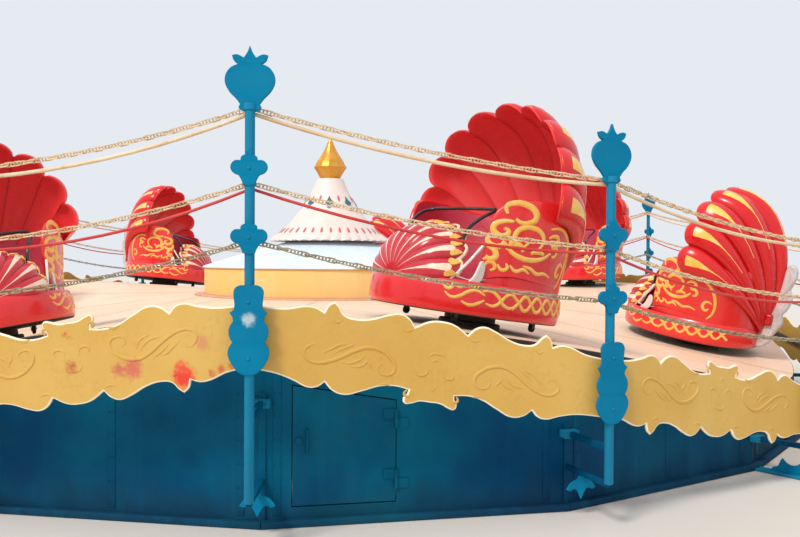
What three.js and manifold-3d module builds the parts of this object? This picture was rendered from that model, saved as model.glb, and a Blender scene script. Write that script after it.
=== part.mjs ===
import * as THREE from 'three';
import Module from 'manifold-3d';

// driving dimensions in mm, +Z up, origin on the ride's axis at ground level
const POSTS = 18;
const STEP = 2 * Math.PI / POSTS;
const WAVES = 3;
const DROP = [0, 345, 690, 900, 690, 345];
const R_POST = 6150;
const R_WALL = 5690;
const R_DECK = 5560;
const R_DECK_IN = 1750;
const R_CAR = 4600;
const CARS = 7;
const CAR_FIRST = -72.3;
const Z_DECK_IN = 1170;
const Z_DECK_RIM = 885;
const RISE = 370;
const Z_FASCIA = 1213;
const Z_WALL = 1035;
const Z_HEAD = 2625;
const Z_ARM = 765;
const Z_FOOT = 290;
const R_FLEUR = 5860;
const PIPE = 28;
const GAP = 0.3;
// which way each car faces at rest, degrees from straight outwards
const CAR_TURN = [-74, 157, 196, 85, -147, 40, 62];

const wasm = await Module();
wasm.setup();

const PAINT = {
  wall: 0x0f4a78,
  door: 0x11507f,
  post: 0x1b87b0,
  fascia: 0xddb45c,
  chain: 0xd8cdb4,
  hose: 0xb8322c,
  deck: 0xe9d9c3,
  frame: 0x3a3c40,
  drum: 0xe6cf8e,
  roof: 0xc9dbe6,
  cone: 0xf1f0ec,
  gold: 0xc8963a,
  red: 0xcf2626,
};

// closed bodies from raw points and faces
function solid(points, faces) {
  const pos = new Float32Array(points.length * 3);
  points.forEach((p, i) => pos.set(p, i * 3));
  const mesh = new wasm.Mesh({
    numProp: 3,
    vertProperties: pos,
    triVerts: new Uint32Array(faces.flat()),
  });
  return new wasm.Manifold(mesh);
}

function fromGeometry(geometry) {
  const src = geometry.index ? geometry : geometry.clone();
  const pos = src.attributes.position;
  const index = src.index ? Array.from(src.index.array) : [...Array(pos.count).keys()];
  const seen = new Map();
  const points = [];
  const link = [];
  for (let i = 0; i < pos.count; i += 1) {
    const p = [pos.getX(i), pos.getY(i), pos.getZ(i)];
    const key = p.map((v) => Math.round(v * 1000)).join(',');
    if (!seen.has(key)) {
      seen.set(key, points.length);
      points.push(p);
    }
    link.push(seen.get(key));
  }
  const faces = [];
  for (let i = 0; i < index.length; i += 3) {
    const f = [link[index[i]], link[index[i + 1]], link[index[i + 2]]];
    if (f[0] !== f[1] && f[1] !== f[2] && f[0] !== f[2]) faces.push(f);
  }
  return solid(points, faces);
}

// a flat outline in local x,y pushed along local z
function plate(outline, depth) {
  const shape = new THREE.Shape(outline.map(([x, y]) => new THREE.Vector2(x, y)));
  return fromGeometry(new THREE.ExtrudeGeometry(shape, { depth, bevelEnabled: false }));
}

function box(w, d, h) {
  return fromGeometry(new THREE.BoxGeometry(w, d, h));
}

function turned(profile, sides) {
  const geometry = new THREE.LatheGeometry(profile.map(([r, z]) => new THREE.Vector2(r, z)), sides);
  geometry.rotateX(Math.PI / 2);
  return fromGeometry(geometry);
}

function placed(body, matrix) {
  return body.transform(matrix.elements);
}

function axes(x, y, z, at) {
  const m = new THREE.Matrix4().makeBasis(x, y, z);
  m.setPosition(at);
  return m;
}

function joined(list) {
  return list.slice(1).reduce((a, b) => a.add(b), list[0]);
}

// two matching grids of points closed along their edges
function skin(front, back) {
  const rows = front.length;
  const cols = front[0].length;
  const points = [...front.flat(), ...back.flat()];
  const half = rows * cols;
  const id = (r, c, side) => side * half + r * cols + c;
  const faces = [];
  for (let r = 0; r < rows - 1; r += 1) {
    for (let c = 0; c < cols - 1; c += 1) {
      faces.push([id(r, c, 0), id(r, c + 1, 0), id(r + 1, c + 1, 0)]);
      faces.push([id(r, c, 0), id(r + 1, c + 1, 0), id(r + 1, c, 0)]);
      faces.push([id(r, c, 1), id(r + 1, c + 1, 1), id(r, c + 1, 1)]);
      faces.push([id(r, c, 1), id(r + 1, c, 1), id(r + 1, c + 1, 1)]);
    }
  }
  const loop = [];
  for (let c = 0; c < cols - 1; c += 1) loop.push([0, c]);
  for (let r = 0; r < rows - 1; r += 1) loop.push([r, cols - 1]);
  for (let c = cols - 1; c > 0; c -= 1) loop.push([rows - 1, c]);
  for (let r = rows - 1; r > 0; r -= 1) loop.push([r, 0]);
  loop.forEach(([r, c], i) => {
    const [r2, c2] = loop[(i + 1) % loop.length];
    faces.push([id(r2, c2, 0), id(r, c, 0), id(r, c, 1)]);
    faces.push([id(r2, c2, 0), id(r, c, 1), id(r2, c2, 1)]);
  });
  let body = solid(points, faces);
  if (body.volume() < 0) body = solid(points, faces.map(([a, b, c]) => [a, c, b]));
  return body;
}

const group = new THREE.Group();

function keep(name, body, colour, metal = 0.1) {
  const mesh = body.getMesh();
  const geometry = new THREE.BufferGeometry();
  const props = mesh.numProp;
  const pos = new Float32Array(mesh.vertProperties.length / props * 3);
  for (let i = 0; i < pos.length / 3; i += 1) {
    for (let k = 0; k < 3; k += 1) pos[i * 3 + k] = mesh.vertProperties[i * props + k];
  }
  geometry.setAttribute('position', new THREE.BufferAttribute(pos, 3));
  geometry.setIndex(new THREE.BufferAttribute(new Uint32Array(mesh.triVerts), 1));
  geometry.computeVertexNormals();
  const material = new THREE.MeshStandardMaterial({ color: colour, roughness: 0.5, metalness: metal });
  const node = new THREE.Mesh(geometry, material);
  node.name = name;
  group.add(node);
}

// the wave of the ride, straight from post to post, and smooth for the deck
const angleOf = (k) => -Math.PI / 2 + k * STEP;
const liftAt = (k) => -DROP[((k % 6) + 6) % 6];
const smoothWave = (a) => Math.cos(WAVES * (a + Math.PI / 2));

function polar(r, a, z) {
  return new THREE.Vector3(r * Math.cos(a), r * Math.sin(a), z);
}

function deckHeight(r, a) {
  const s = (r - R_DECK_IN) / (R_DECK - R_DECK_IN);
  return Z_DECK_IN + (Z_DECK_RIM - Z_DECK_IN) * s + RISE * s * smoothWave(a);
}

// plinth wall, each bay flat, its top following the wave
function alongWall(r, k) {
  const base = Math.floor(k + 1e-9);
  const u = k - base;
  const p = polar(r, angleOf(base), 0).lerp(polar(r, angleOf(base + 1), 0), u);
  const lift = liftAt(base) + (liftAt(base + 1) - liftAt(base)) * u;
  return { p, top: Z_WALL + lift * 0.97 };
}

function wallRun(stops, low = 0, high = 0) {
  const grid = (r) => [0, 1].map((v) => stops.map((k) => {
    const { p, top } = alongWall(r, k);
    const base = low < 0 ? top + low : low;
    return [p.x, p.y, v ? (high > 0 ? high : top + high) : base];
  }));
  return skin(grid(R_WALL), grid(R_WALL - 30));
}

const DOOR = { from: 0.09, to: 0.423, low: 110, drop: 135 };
const HINGE = { out: 14, r: 12, at: [260, 640], tall: 60 };

// door hinges, each a barrel and a strap, the wall's barrels under the door's
function hinges(side) {
  const a = angleOf(0.5);
  const out = polar(1, a, 0);
  const along = polar(1, a + Math.PI / 2, 0);
  const up = new THREE.Vector3(0, 0, 1);
  const pin = alongWall(R_WALL, DOOR.to - 0.0015).p.addScaledVector(out, HINGE.out);
  return HINGE.at.flatMap((z) => {
    const low = side > 0 ? z - HINGE.tall - GAP : z;
    const at = pin.clone().setZ(low);
    const barrel = turned([[0, 0], [HINGE.r, 0], [HINGE.r, HINGE.tall], [0, HINGE.tall]], 8);
    const strap = placed(box(80, 9, HINGE.tall), axes(along, out.clone().negate(), up,
      pin.clone().addScaledVector(along, side * 40).addScaledVector(out, -10).setZ(low + HINGE.tall / 2)));
    return [placed(barrel, axes(along, out.clone().negate(), up, at)), strap];
  });
}

function walls() {
  const e = 0.0001;
  const run = (from, to) => {
    const stops = [from + e];
    for (let k = from + 1; k < to; k += 1) stops.push(k);
    return wallRun([...stops, to - e]);
  };
  keep('wall_right', run(1, 5), PAINT.wall);
  keep('wall_back_right', run(5, 9), PAINT.wall);
  keep('wall_back_left', run(9, 14), PAINT.wall);
  keep('wall_left', run(14, 18), PAINT.wall);
  const bay = joined([
    wallRun([e, DOOR.from]),
    wallRun([DOOR.from - e, DOOR.to + e], 0, DOOR.low),
    wallRun([DOOR.from - e, DOOR.to + e], -DOOR.drop),
    wallRun([DOOR.to, 1 - e]),
    ...hinges(1),
  ]);
  keep('wall_door_bay', bay, PAINT.wall);
  const leaf = wallRun([DOOR.from + 0.003, DOOR.to - 0.003], DOOR.low + 8, -DOOR.drop - 8);
  keep('access_door', joined([leaf, ...hinges(-1)]), PAINT.door);
}

// outlines of the flat ornaments, half of each, x outwards and y upwards
const HEAD = [[0, 186], [32, 140], [65, 158], [51, 112], [108, 77], [136, 0], [86, -93], [49, -145], [0, -182]];
const KNOT = [[0, 97], [38, 52], [100, 28], [91, -17], [42, -68], [0, -97]];
const SHIELD = [[0, 250], [75, 233], [86, 149], [100, 79], [80, 9], [103, -61], [82, -175], [0, -250]];
const FLEUR = [[0, 85], [24, 44], [62, 22], [104, -20], [84, -34], [44, -20], [22, -36], [0, -85]];

function mirrored(half) {
  const other = half.slice(1, -1).reverse().map(([x, y]) => [-x, y]);
  return [...half, ...other].reverse();
}

function post(k) {
  const a = angleOf(k);
  const lift = liftAt(k);
  const out = polar(1, a, 0);
  const side = new THREE.Vector3(-out.y, out.x, 0);
  const up = new THREE.Vector3(0, 0, 1);
  const list = [];
  const head = Z_HEAD + lift;
  // the high posts hang from the wall on two arms, the low ones stand on the ground
  const hung = lift > -400;
  const end = hung ? Z_FOOT : 0;
  const pipe = turned([[0, end], [PIPE, end], [PIPE, head - 150], [0, head - 150]], 6);
  list.push(placed(pipe, axes(side, out, up, polar(R_POST, a, 0)).multiply(new THREE.Matrix4())));
  const flat = (half, z, thick, r) => {
    const m = axes(side.clone().negate(), up, out, polar(r, a, z));
    list.push(placed(plate(mirrored(half), thick), m));
  };
  flat(HEAD, head, 26, R_POST - 13);
  flat(KNOT, head - 488, 22, R_POST + 14);
  flat(KNOT, head - 865, 22, R_POST + 14);
  flat(SHIELD, head - 1374, 18, R_POST + 20);
  const arm = (z, thick) => placed(box(R_POST - R_WALL, 34, thick),
    axes(out, side, up, polar((R_POST + R_WALL) / 2 + GAP, a, z)));
  const upper = Z_ARM + lift * 0.75;
  list.push(arm(upper, 40));
  if (hung) {
    const tall = upper + 60;
    const strap = placed(box(12, 44, tall), axes(out, side, up, polar(R_WALL + GAP + 7, a, tall / 2)));
    flat(FLEUR, Z_FOOT - 85, 14, R_FLEUR);
    list.push(arm(Z_FOOT - 5, 30), strap);
    return list;
  }
  const foot = placed(box(R_POST - R_WALL, 90, 24), axes(out, side, up, polar((R_POST + R_WALL) / 2 + 4, a, 12)));
  const low = lift < -800 ? 0.6 : 1;
  const leaf = plate([[0, 0], [-320, 0], [-230, 135 * low], [-120, 100 * low], [0, 150 * low]], 14);
  const brace = placed(leaf, axes(out, up, side.clone().negate(), polar(R_POST, a, 2).addScaledVector(side, 7)));
  list.push(foot, brace);
  return list;
}

function kerb(first, last) {
  const stops = [first - 0.03];
  for (let k = first; k <= last; k += 1) stops.push(k);
  stops.push(last + 0.03);
  const grid = (z) => [0, 1].map((v) => stops.map((k) => {
    const { p } = alongWall(R_WALL + GAP + 55 * v, k);
    return [p.x, p.y, z];
  }));
  return skin(grid(45), grid(0));
}

function postRows() {
  ['front', 'right', 'left'].forEach((name, q) => {
    const first = q * 6 - 1;
    const list = [kerb(first, first + 5)];
    for (let i = 0; i < 6; i += 1) list.push(...post(first + i));
    keep(`posts_${name}`, joined(list), PAINT.post, 0.2);
  });
}

// fascia outline along half a panel, u 0 at the middle and 1 at the post
const TAB_SIDE = [[0, 236], [0.14, 255], [0.16, 169], [0.27, 171], [0.48, 255], [0.58, 197], [0.68, 236], [0.82, 188], [1, 180]];
const LOW_SIDE = [[0, -245], [0.14, -188], [0.21, -255], [0.4, -186], [0.515, -193], [0.567, -261], [0.64, -193],
  [0.7, -218], [0.85, -180], [1, -173]];

function fascia(k) {
  const r = R_POST - PIPE - 17.8;
  const z0 = Z_FASCIA + liftAt(k);
  const z1 = Z_FASCIA + liftAt(k + 1);
  const p0 = polar(r, angleOf(k), z0);
  const p1 = polar(r, angleOf(k + 1), z1);
  const along = p1.clone().sub(p0);
  const length = along.length();
  along.normalize();
  const out = polar(1, angleOf(k + 0.5), 0);
  const up = out.clone().cross(along);
  const half = length / 2 - 3;
  const flip = k % 2 ? 1 : -1;
  const lean = along.z / Math.hypot(along.x, along.y);
  const edge = (list, sign) => list.map(([u, t]) => [u * half * sign + (u > 0.99 ? t * flip * lean : 0), t * flip]);
  const ring = [
    ...edge(TAB_SIDE, 1),
    ...edge(LOW_SIDE, 1).reverse(),
    ...edge(LOW_SIDE, -1).slice(1),
    ...edge(TAB_SIDE, -1).slice(1).reverse(),
  ];
  const mid = p0.clone().add(p1).multiplyScalar(0.5);
  const panel = placed(plate(ring, 22), axes(along, up, out, mid));
  const first = (k + 1) % 6 === 0;
  const last = (k + 2) % 6 === 0;
  const run = length + 16 - (first ? 16 : 0) - (last ? 16 : 0);
  const slip = (first ? 8 : 0) - (last ? 8 : 0);
  const rail = placed(box(run, 50, 26), axes(along, up, out,
    mid.clone().addScaledVector(out, -12).addScaledVector(along, slip)));
  return joined([panel, rail]);
}

function fasciaRows() {
  ['front', 'right', 'left'].forEach((name, q) => {
    const list = [0, 1, 2, 3, 4, 5].map((i) => fascia(q * 6 + i - 1));
    keep(`fascia_${name}`, joined(list), PAINT.fascia);
  });
}

// closed loops of chain, rope and hose hanging from post to post
const SIDES = 3;

function loop(name, below, sag, radius, colour) {
  const parts = 3;
  const list = [];
  const r = R_POST - PIPE - radius * 0.866 - GAP;
  for (let k = 0; k < POSTS; k += 1) {
    const p0 = polar(r, angleOf(k), Z_HEAD + liftAt(k) - below);
    const p1 = polar(r, angleOf(k + 1), Z_HEAD + liftAt(k + 1) - below);
    for (let i = 0; i < parts; i += 1) {
      const t = i / parts;
      const p = p0.clone().lerp(p1, t);
      p.z -= sag * 4 * t * (1 - t);
      list.push(p);
    }
  }
  const points = [];
  const faces = [];
  const n = list.length;
  list.forEach((p, i) => {
    const dir = list[(i + 1) % n].clone().sub(list[(i + n - 1) % n]).normalize();
    const side = new THREE.Vector3(dir.y, -dir.x, 0).normalize();
    const up = side.clone().cross(dir).normalize();
    for (let j = 0; j < SIDES; j += 1) {
      const a = Math.PI / 2 + j * 2 * Math.PI / SIDES;
      const q = p.clone().addScaledVector(side, radius * Math.cos(a)).addScaledVector(up, radius * Math.sin(a));
      points.push([q.x, q.y, q.z]);
    }
  });
  for (let i = 0; i < n; i += 1) {
    const m = (i + 1) % n;
    for (let j = 0; j < SIDES; j += 1) {
      const l = (j + 1) % SIDES;
      faces.push([i * SIDES + j, i * SIDES + l, m * SIDES + l]);
      faces.push([i * SIDES + j, m * SIDES + l, m * SIDES + j]);
    }
  }
  let body = solid(points, faces);
  if (body.volume() < 0) body = solid(points, faces.map(([a, b, c]) => [a, c, b]));
  keep(name, body, colour, 0.3);
}

function loops() {
  loop('chain_upper', 150, 50, 12, PAINT.chain);
  loop('rope_upper', 178, 80, 12, PAINT.chain);
  loop('chain_middle', 565, 60, 12, PAINT.chain);
  loop('hose_middle', 595, 95, 13, PAINT.hose);
  loop('chain_lower', 885, 55, 12, PAINT.chain);
}

// centre pavilion
const ARM = (R_WALL - 30) * Math.cos(STEP / 2) - GAP - 860;

function pavilion() {
  const column = turned([[0, 0], [900, 0], [900, 60], [420, 80], [420, 800], [620, 840], [620, 879.7], [420, 879.7],
    [420, 1179.7], [0, 1179.7]], 16);
  const arms = [];
  for (let i = 0; i < 4; i += 1) {
    const a = angleOf(1.5 + 4 * i);
    const m = axes(polar(1, a, 0), polar(1, a + Math.PI / 2, 0), new THREE.Vector3(0, 0, 1), polar(860 + ARM / 2, a, 55));
    arms.push(placed(box(ARM, 90, 110), m));
  }
  keep('base_frame', joined([column, ...arms]), PAINT.frame, 0.5);
  keep('drum', turned([[0, 1180], [1600, 1180], [1630, 1200], [1630, 1518], [0, 1518]], 28), PAINT.drum);
  keep('drum_roof', turned([[0, 1518.3], [1655, 1518.3], [1655, 1535], [760, 1800], [560, 1865], [0, 1865]], 28), PAINT.roof);
  const bell = [[0, 1865.3], [790, 1865.3], [785, 1895], [620, 2030], [440, 2230], [290, 2450], [175, 2700], [0, 2700]];
  keep('canopy_cone', turned(bell, 24), PAINT.cone);
  const tip = [[0, 2700.3], [130, 2700.3], [150, 2760], [215, 2850], [170, 2960], [80, 3090], [14, 3260], [0, 3260]];
  keep('finial', turned(tip, 12), PAINT.gold, 0.6);
}

// waved turning platform
function carSeat(i) {
  const a = (CAR_FIRST + i * 360 / CARS) * Math.PI / 180;
  const d = 20;
  const at = polar(R_CAR, a, deckHeight(R_CAR, a));
  const radial = polar(1, a, (deckHeight(R_CAR + d, a) - deckHeight(R_CAR - d, a)) / (2 * d)).normalize();
  const e = d / R_CAR;
  const rise = (deckHeight(R_CAR, a + e) - deckHeight(R_CAR, a - e)) / (2 * d);
  const across = polar(1, a + Math.PI / 2, rise).normalize();
  const up = radial.clone().cross(across).normalize();
  return { at, up, radial, angle: a };
}

const PAD = 45;
const THIRD = 2 * Math.PI / 3;

function deck() {
  const cols = 16;
  const rows = [[R_DECK_IN, 60], [3600, 60], [R_DECK - 48, 60], [R_DECK - 40, 170], [R_DECK, 170]];
  ['front', 'right', 'left'].forEach((name, q) => {
    const a0 = -Math.PI / 2 - THIRD / 2 + q * THIRD;
    const grid = (low) => rows.map(([r, drop]) => {
      const list = [];
      for (let c = 0; c <= cols; c += 1) {
        const trim = (c === 0 ? 0.4 : 0) - (c === cols ? 0.4 : 0);
        const a = a0 + c / cols * THIRD + trim / r;
        const p = polar(r, a, deckHeight(r, a) - (low ? drop : 0));
        list.push([p.x, p.y, p.z]);
      }
      return list;
    });
    const list = [skin(grid(false), grid(true))];
    [0.25, 0.75].forEach((u) => {
      const a = a0 + u * THIRD;
      const m = axes(polar(1, a, 0), polar(1, a + Math.PI / 2, 0), new THREE.Vector3(0, 0, 1), polar(1800, a, 1020.3 + 55));
      list.push(placed(box(70, 70, 110), m));
    });
    for (let i = 0; i < CARS; i += 1) {
      const seat = carSeat(i);
      const turn = (((seat.angle - a0) % (2 * Math.PI)) + 2 * Math.PI) % (2 * Math.PI);
      if (turn < THIRD) {
        const m = axes(seat.radial, seat.up.clone().cross(seat.radial), seat.up, seat.at);
        list.push(placed(turned([[0, -40], [240, -40], [240, PAD], [0, PAD]], 8), m));
      }
    }
    keep(`deck_${name}`, joined(list), PAINT.deck);
  });
}

function turntable() {
  const list = [turned([[445, 880], [640, 880], [640, 1040], [445, 1040], [445, 880]], 12)];
  for (let i = 0; i < 6; i += 1) {
    const a = i * Math.PI / 3;
    const m = axes(polar(1, a, 0), polar(1, a + Math.PI / 2, 0), new THREE.Vector3(0, 0, 1), polar(1450, a, 960));
    list.push(placed(box(1800, 80, 120), m));
  }
  keep('turntable_frame', joined(list), PAINT.frame, 0.5);
}

// one car, x forwards from the pivot, z up from the top of its pad
// the shell grows from its foot at the back to a lobed rim, u 0 to 1
function shellPoint(t, u, lobe, thick) {
  const a = t * 1.75;
  const flank = Math.abs(Math.sin(a));
  const w = 835 + 40 * lobe;
  const rimY = Math.sin(a) * w;
  const rimZ = 905 + Math.cos(a) * (715 + 45 * lobe);
  const rimX = -160 + 90 * flank + 25 * lobe;
  const rise = Math.sin(u * Math.PI / 2) ** 1.25 + 0.035 * Math.sin(Math.PI * Math.min(1, Math.max(0, (u - 0.55) / 0.6)));
  const belly = 320 * Math.sin(Math.PI * u ** 1.15) * (1 - 0.35 * flank);
  const x = -675 + (rimX + 675) * (1 - Math.cos(u * Math.PI / 2)) - belly;
  const k = 1 - thick * u;
  const back = thick > 0 ? 40 : 0;
  return [x + back, rimY * rise * k, 200 + (rimZ - 200) * rise * k];
}

function carShell() {
  const cols = 18;
  const grid = (thick) => [0.12, 0.32, 0.54, 0.76, 1].map((u) => {
    const row = [];
    for (let c = 0; c <= cols; c += 1) row.push(shellPoint((c / cols - 0.5) * 2, u, c % 2, thick));
    return row;
  });
  const heel = placed(box(103.7, 180, 130), new THREE.Matrix4().makeTranslation(-718.15, 0, 395));
  return skin(grid(0.05), grid(0)).add(heel);
}

function carBody() {
  const plan = [];
  for (let i = 0; i < 14; i += 1) {
    const a = i / 14 * 2 * Math.PI;
    plan.push([95 + Math.cos(a) * 735, Math.sin(a) * 655]);
  }
  const base = placed(plate(plan, 130), new THREE.Matrix4().makeTranslation(0, 0, 60));
  const hub = turned([[0, GAP], [200, GAP], [200, 80], [0, 80]], 8);
  const hump = [[-500, 150], [350, 150], [330, 330], [255, 640], [170, 820],
    [40, 920], [-120, 935], [-500, 890]];
  const wall = (s) => placed(plate(hump, 40), axes(
    new THREE.Vector3(1, 0.08 * s, 0).normalize(),
    new THREE.Vector3(0, 0, 1),
    new THREE.Vector3(0.08 * s, -1, 0).normalize(),
    new THREE.Vector3(0, s > 0 ? 610 : -570, 0),
  ));
  const bench = placed(plate([[-530, -430], [-100, -560], [-60, -560], [-60, 560], [-100, 560], [-530, 430]], 300),
    new THREE.Matrix4().makeTranslation(0, 0, 160));
  const nose = (back) => [0.02, 0.55, 1].map((u) => {
    const row = [];
    for (let c = 0; c <= 10; c += 1) {
      const a = (c / 10 - 0.5) * Math.PI * 0.96;
      const bump = c % 2 ? 1 : 0.93;
      const reach = u * bump;
      const x = 340 + Math.cos(a) * reach * 490;
      const y = Math.sin(a) * reach * 480;
      const z = back ? 150 : 200 + 490 * Math.sqrt(Math.max(0, 1 - u * u * 0.93));
      row.push([x, y, z]);
    }
    return row;
  });
  const dome = skin(nose(0), nose(1));
  const arc = [];
  for (let i = 0; i <= 5; i += 1) arc.push((128 + i * 20.8) * Math.PI / 180);
  const ring = (cut) => arc.map((a) => [60 + Math.cos(a) * (680 - cut), Math.sin(a) * (620 - cut)]);
  const back = placed(plate([...ring(0), ...ring(40).reverse()], 560), new THREE.Matrix4().makeTranslation(0, 0, 150));
  const stay = placed(box(174, 180, 240), new THREE.Matrix4().makeTranslation(-579, 0, 270));
  return joined([base, hub, wall(1), wall(-1), bench, dome, back, stay]);
}

function cars() {
  const body = carBody();
  const shell = carShell();
  for (let i = 0; i < CARS; i += 1) {
    const seat = carSeat(i);
    const turn = CAR_TURN[i] * Math.PI / 180;
    const side = seat.up.clone().cross(seat.radial);
    const ahead = seat.radial.clone().multiplyScalar(Math.cos(turn)).addScaledVector(side, Math.sin(turn));
    const left = seat.up.clone().cross(ahead);
    const at = seat.at.clone().addScaledVector(seat.up, PAD);
    const m = axes(ahead, left, seat.up, at);
    const tag = String(i + 1).padStart(2, '0');
    keep(`car_${tag}_body`, placed(body, m), PAINT.red);
    keep(`car_${tag}_shell`, placed(shell, m), PAINT.red);
  }
}

walls();
postRows();
fasciaRows();
loops();
pavilion();
deck();
turntable();
cars();

export default group;
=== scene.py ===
import math

import bmesh
import bpy
from mathutils import Matrix, Vector


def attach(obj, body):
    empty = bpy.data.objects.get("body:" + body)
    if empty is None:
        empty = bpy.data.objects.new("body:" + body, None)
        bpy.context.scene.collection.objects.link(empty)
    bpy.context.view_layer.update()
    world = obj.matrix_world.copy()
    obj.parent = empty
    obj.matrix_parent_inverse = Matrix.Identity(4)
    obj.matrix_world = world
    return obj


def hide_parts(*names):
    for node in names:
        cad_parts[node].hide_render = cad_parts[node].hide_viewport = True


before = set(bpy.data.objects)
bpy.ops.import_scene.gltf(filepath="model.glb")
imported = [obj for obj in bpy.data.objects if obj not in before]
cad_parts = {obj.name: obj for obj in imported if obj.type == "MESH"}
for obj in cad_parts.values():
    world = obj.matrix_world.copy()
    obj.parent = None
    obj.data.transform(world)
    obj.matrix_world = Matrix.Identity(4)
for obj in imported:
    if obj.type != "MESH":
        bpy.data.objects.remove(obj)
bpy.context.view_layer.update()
scene = bpy.context.scene

# main sizes of the ride, the same as the CAD part's
ride = {
    "posts": 18, "drop": (0, 0.345, 0.69, 0.9, 0.69, 0.345), "postRadius": 6.15, "pipe": 0.028,
    "wallRadius": 5.69, "wallTop": 1.035, "headHeight": 2.625, "fasciaHeight": 1.213,
    "deckRadius": 5.56, "deckInner": 1.75, "deckIn": 1.17, "deckRim": 0.885, "wave": 0.37,
    "cars": 7, "carRadius": 4.6, "firstCar": -72.3, "pad": 0.045,
    "carTurn": (-74, 157, 196, 85, -147, 40, 62),
}
thirds = {"front": -1, "right": 5, "left": 11}
up = Vector((0, 0, 1))


def angleOf(k):
    return math.radians(-90 + 360 / ride["posts"] * k)


def liftAt(k):
    return -ride["drop"][k % 6]


def polar(r, a, z):
    return Vector((r * math.cos(a), r * math.sin(a), z))


def deckHeight(r, a):
    s = (r - ride["deckInner"]) / (ride["deckRadius"] - ride["deckInner"])
    wave = ride["wave"] * s * math.cos(3 * (a + math.pi / 2))
    return ride["deckIn"] + (ride["deckRim"] - ride["deckIn"]) * s + wave


def axes(x, y, z, at):
    m = Matrix.Identity(4)
    for i, c in enumerate((x, y, z, at)):
        m[0][i], m[1][i], m[2][i] = c
    return m


def mix(a, b, u):
    return a + (b - a) * u


# camera at the photo's viewpoint
camera = {
    "at": (0.749, -10.45, 1.65), "azimuth": 88.95, "pitch": -0.76, "roll": 0.32,
    "focalPixels": 779, "imageWidth": 800, "sensor": 36,
}


def placeCamera(c):
    data = bpy.data.cameras.new("viewCamera")
    data.sensor_width = c["sensor"]
    data.lens = c["focalPixels"] * c["sensor"] / c["imageWidth"]
    data.clip_end = 200
    a, p, r = (math.radians(c[key]) for key in ("azimuth", "pitch", "roll"))
    ahead = Vector((math.cos(p) * math.cos(a), math.cos(p) * math.sin(a), math.sin(p)))
    right = Vector((math.sin(a), -math.cos(a), 0))
    above = right.cross(ahead)
    side = right * math.cos(r) + above * math.sin(r)
    above = above * math.cos(r) - right * math.sin(r)
    obj = bpy.data.objects.new("viewCamera", data)
    scene.collection.objects.link(obj)
    obj.matrix_world = axes(side, above, -ahead, Vector(c["at"]))
    scene.camera = obj


placeCamera(camera)


# shapes: curves turned into meshes, and meshes gathered into one piece
def meshFrom(bm, name):
    mesh = bpy.data.meshes.new(name)
    bm.to_mesh(mesh)
    bm.free()
    return mesh


def curveMesh(curve):
    holder = bpy.data.objects.new("holder", curve)
    scene.collection.objects.link(holder)
    graph = bpy.context.evaluated_depsgraph_get()
    mesh = bpy.data.meshes.new_from_object(holder.evaluated_get(graph))
    bpy.data.objects.remove(holder)
    bpy.data.curves.remove(curve)
    return mesh


def roundCurve(name, radius, sides):
    curve = bpy.data.curves.new(name, "CURVE")
    curve.dimensions = "3D"
    curve.bevel_depth = radius
    curve.bevel_resolution = sides
    curve.use_fill_caps = True
    return curve


def addLine(curve, path, closed=False):
    spline = curve.splines.new("POLY")
    spline.points.add(len(path) - 1)
    spline.use_cyclic_u = closed
    for knot, point in zip(spline.points, path):
        knot.co = (*point, 1)


def bezier(curve, points, closed):
    spline = curve.splines.new("BEZIER")
    spline.bezier_points.add(len(points) - 1)
    spline.use_cyclic_u = closed
    for knot, point in zip(spline.bezier_points, points):
        sharp = len(point) > 2 and point[2] == 1
        knot.co = (point[0], point[1], 0)
        knot.handle_left_type = knot.handle_right_type = "VECTOR" if sharp else "AUTO"
    return spline


# flat plate in x,y with rounded edges, a point with a third value of 1 is sharp
def plateMesh(outline, depth, edge, steps=4, edgePaint=0):
    curve = bpy.data.curves.new("plate", "CURVE")
    curve.dimensions = "2D"
    curve.fill_mode = "BOTH"
    curve.resolution_u = steps
    curve.bevel_depth = edge
    curve.bevel_resolution = 1
    curve.offset = -edge
    curve.extrude = depth / 2 - edge
    bezier(curve, outline, True)
    mesh = curveMesh(curve)
    for face in mesh.polygons:
        face.material_index = edgePaint if abs(face.normal.z) < 0.9 else 0
    return mesh


# raised strokes in x,y, thick in the middle and fine at the ends, flattened along z
def strokeMesh(paths, width, flat=0.6, steps=4, fine=0.35, blunt=()):
    curve = roundCurve("stroke", width / 2, 1)
    curve.resolution_u = steps
    for n, path in enumerate(paths):
        knots = bezier(curve, path, False).bezier_points
        last = len(path) - 1
        for i, knot in enumerate(knots):
            full = math.sin(math.pi * min(1, (i + 0.15) / (last + 0.3)))
            knot.radius = 1 if n in blunt else mix(fine, 1, full)
    mesh = curveMesh(curve)
    mesh.transform(Matrix.Diagonal((1, 1, flat, 1)))
    return mesh


# round bar along points in space
def barMesh(path, radius, sides=2, closed=False):
    curve = roundCurve("bar", radius, sides)
    addLine(curve, path, closed)
    return curveMesh(curve)


# a bar through a few points with the bends made round
def bentBar(points, radius, sides=2, steps=6):
    path = []
    pts = [Vector(p) for p in points]
    for i, p in enumerate(pts):
        if i in (0, len(pts) - 1):
            path.append(p)
            continue
        a, b = pts[i - 1] - p, pts[i + 1] - p
        cut = min(a.length, b.length) * 0.45
        start, end = p + a.normalized() * cut, p + b.normalized() * cut
        for j in range(steps + 1):
            u = j / steps
            path.append(start * (1 - u) ** 2 + p * 2 * u * (1 - u) + end * u ** 2)
    return barMesh(path, radius, sides)


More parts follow.
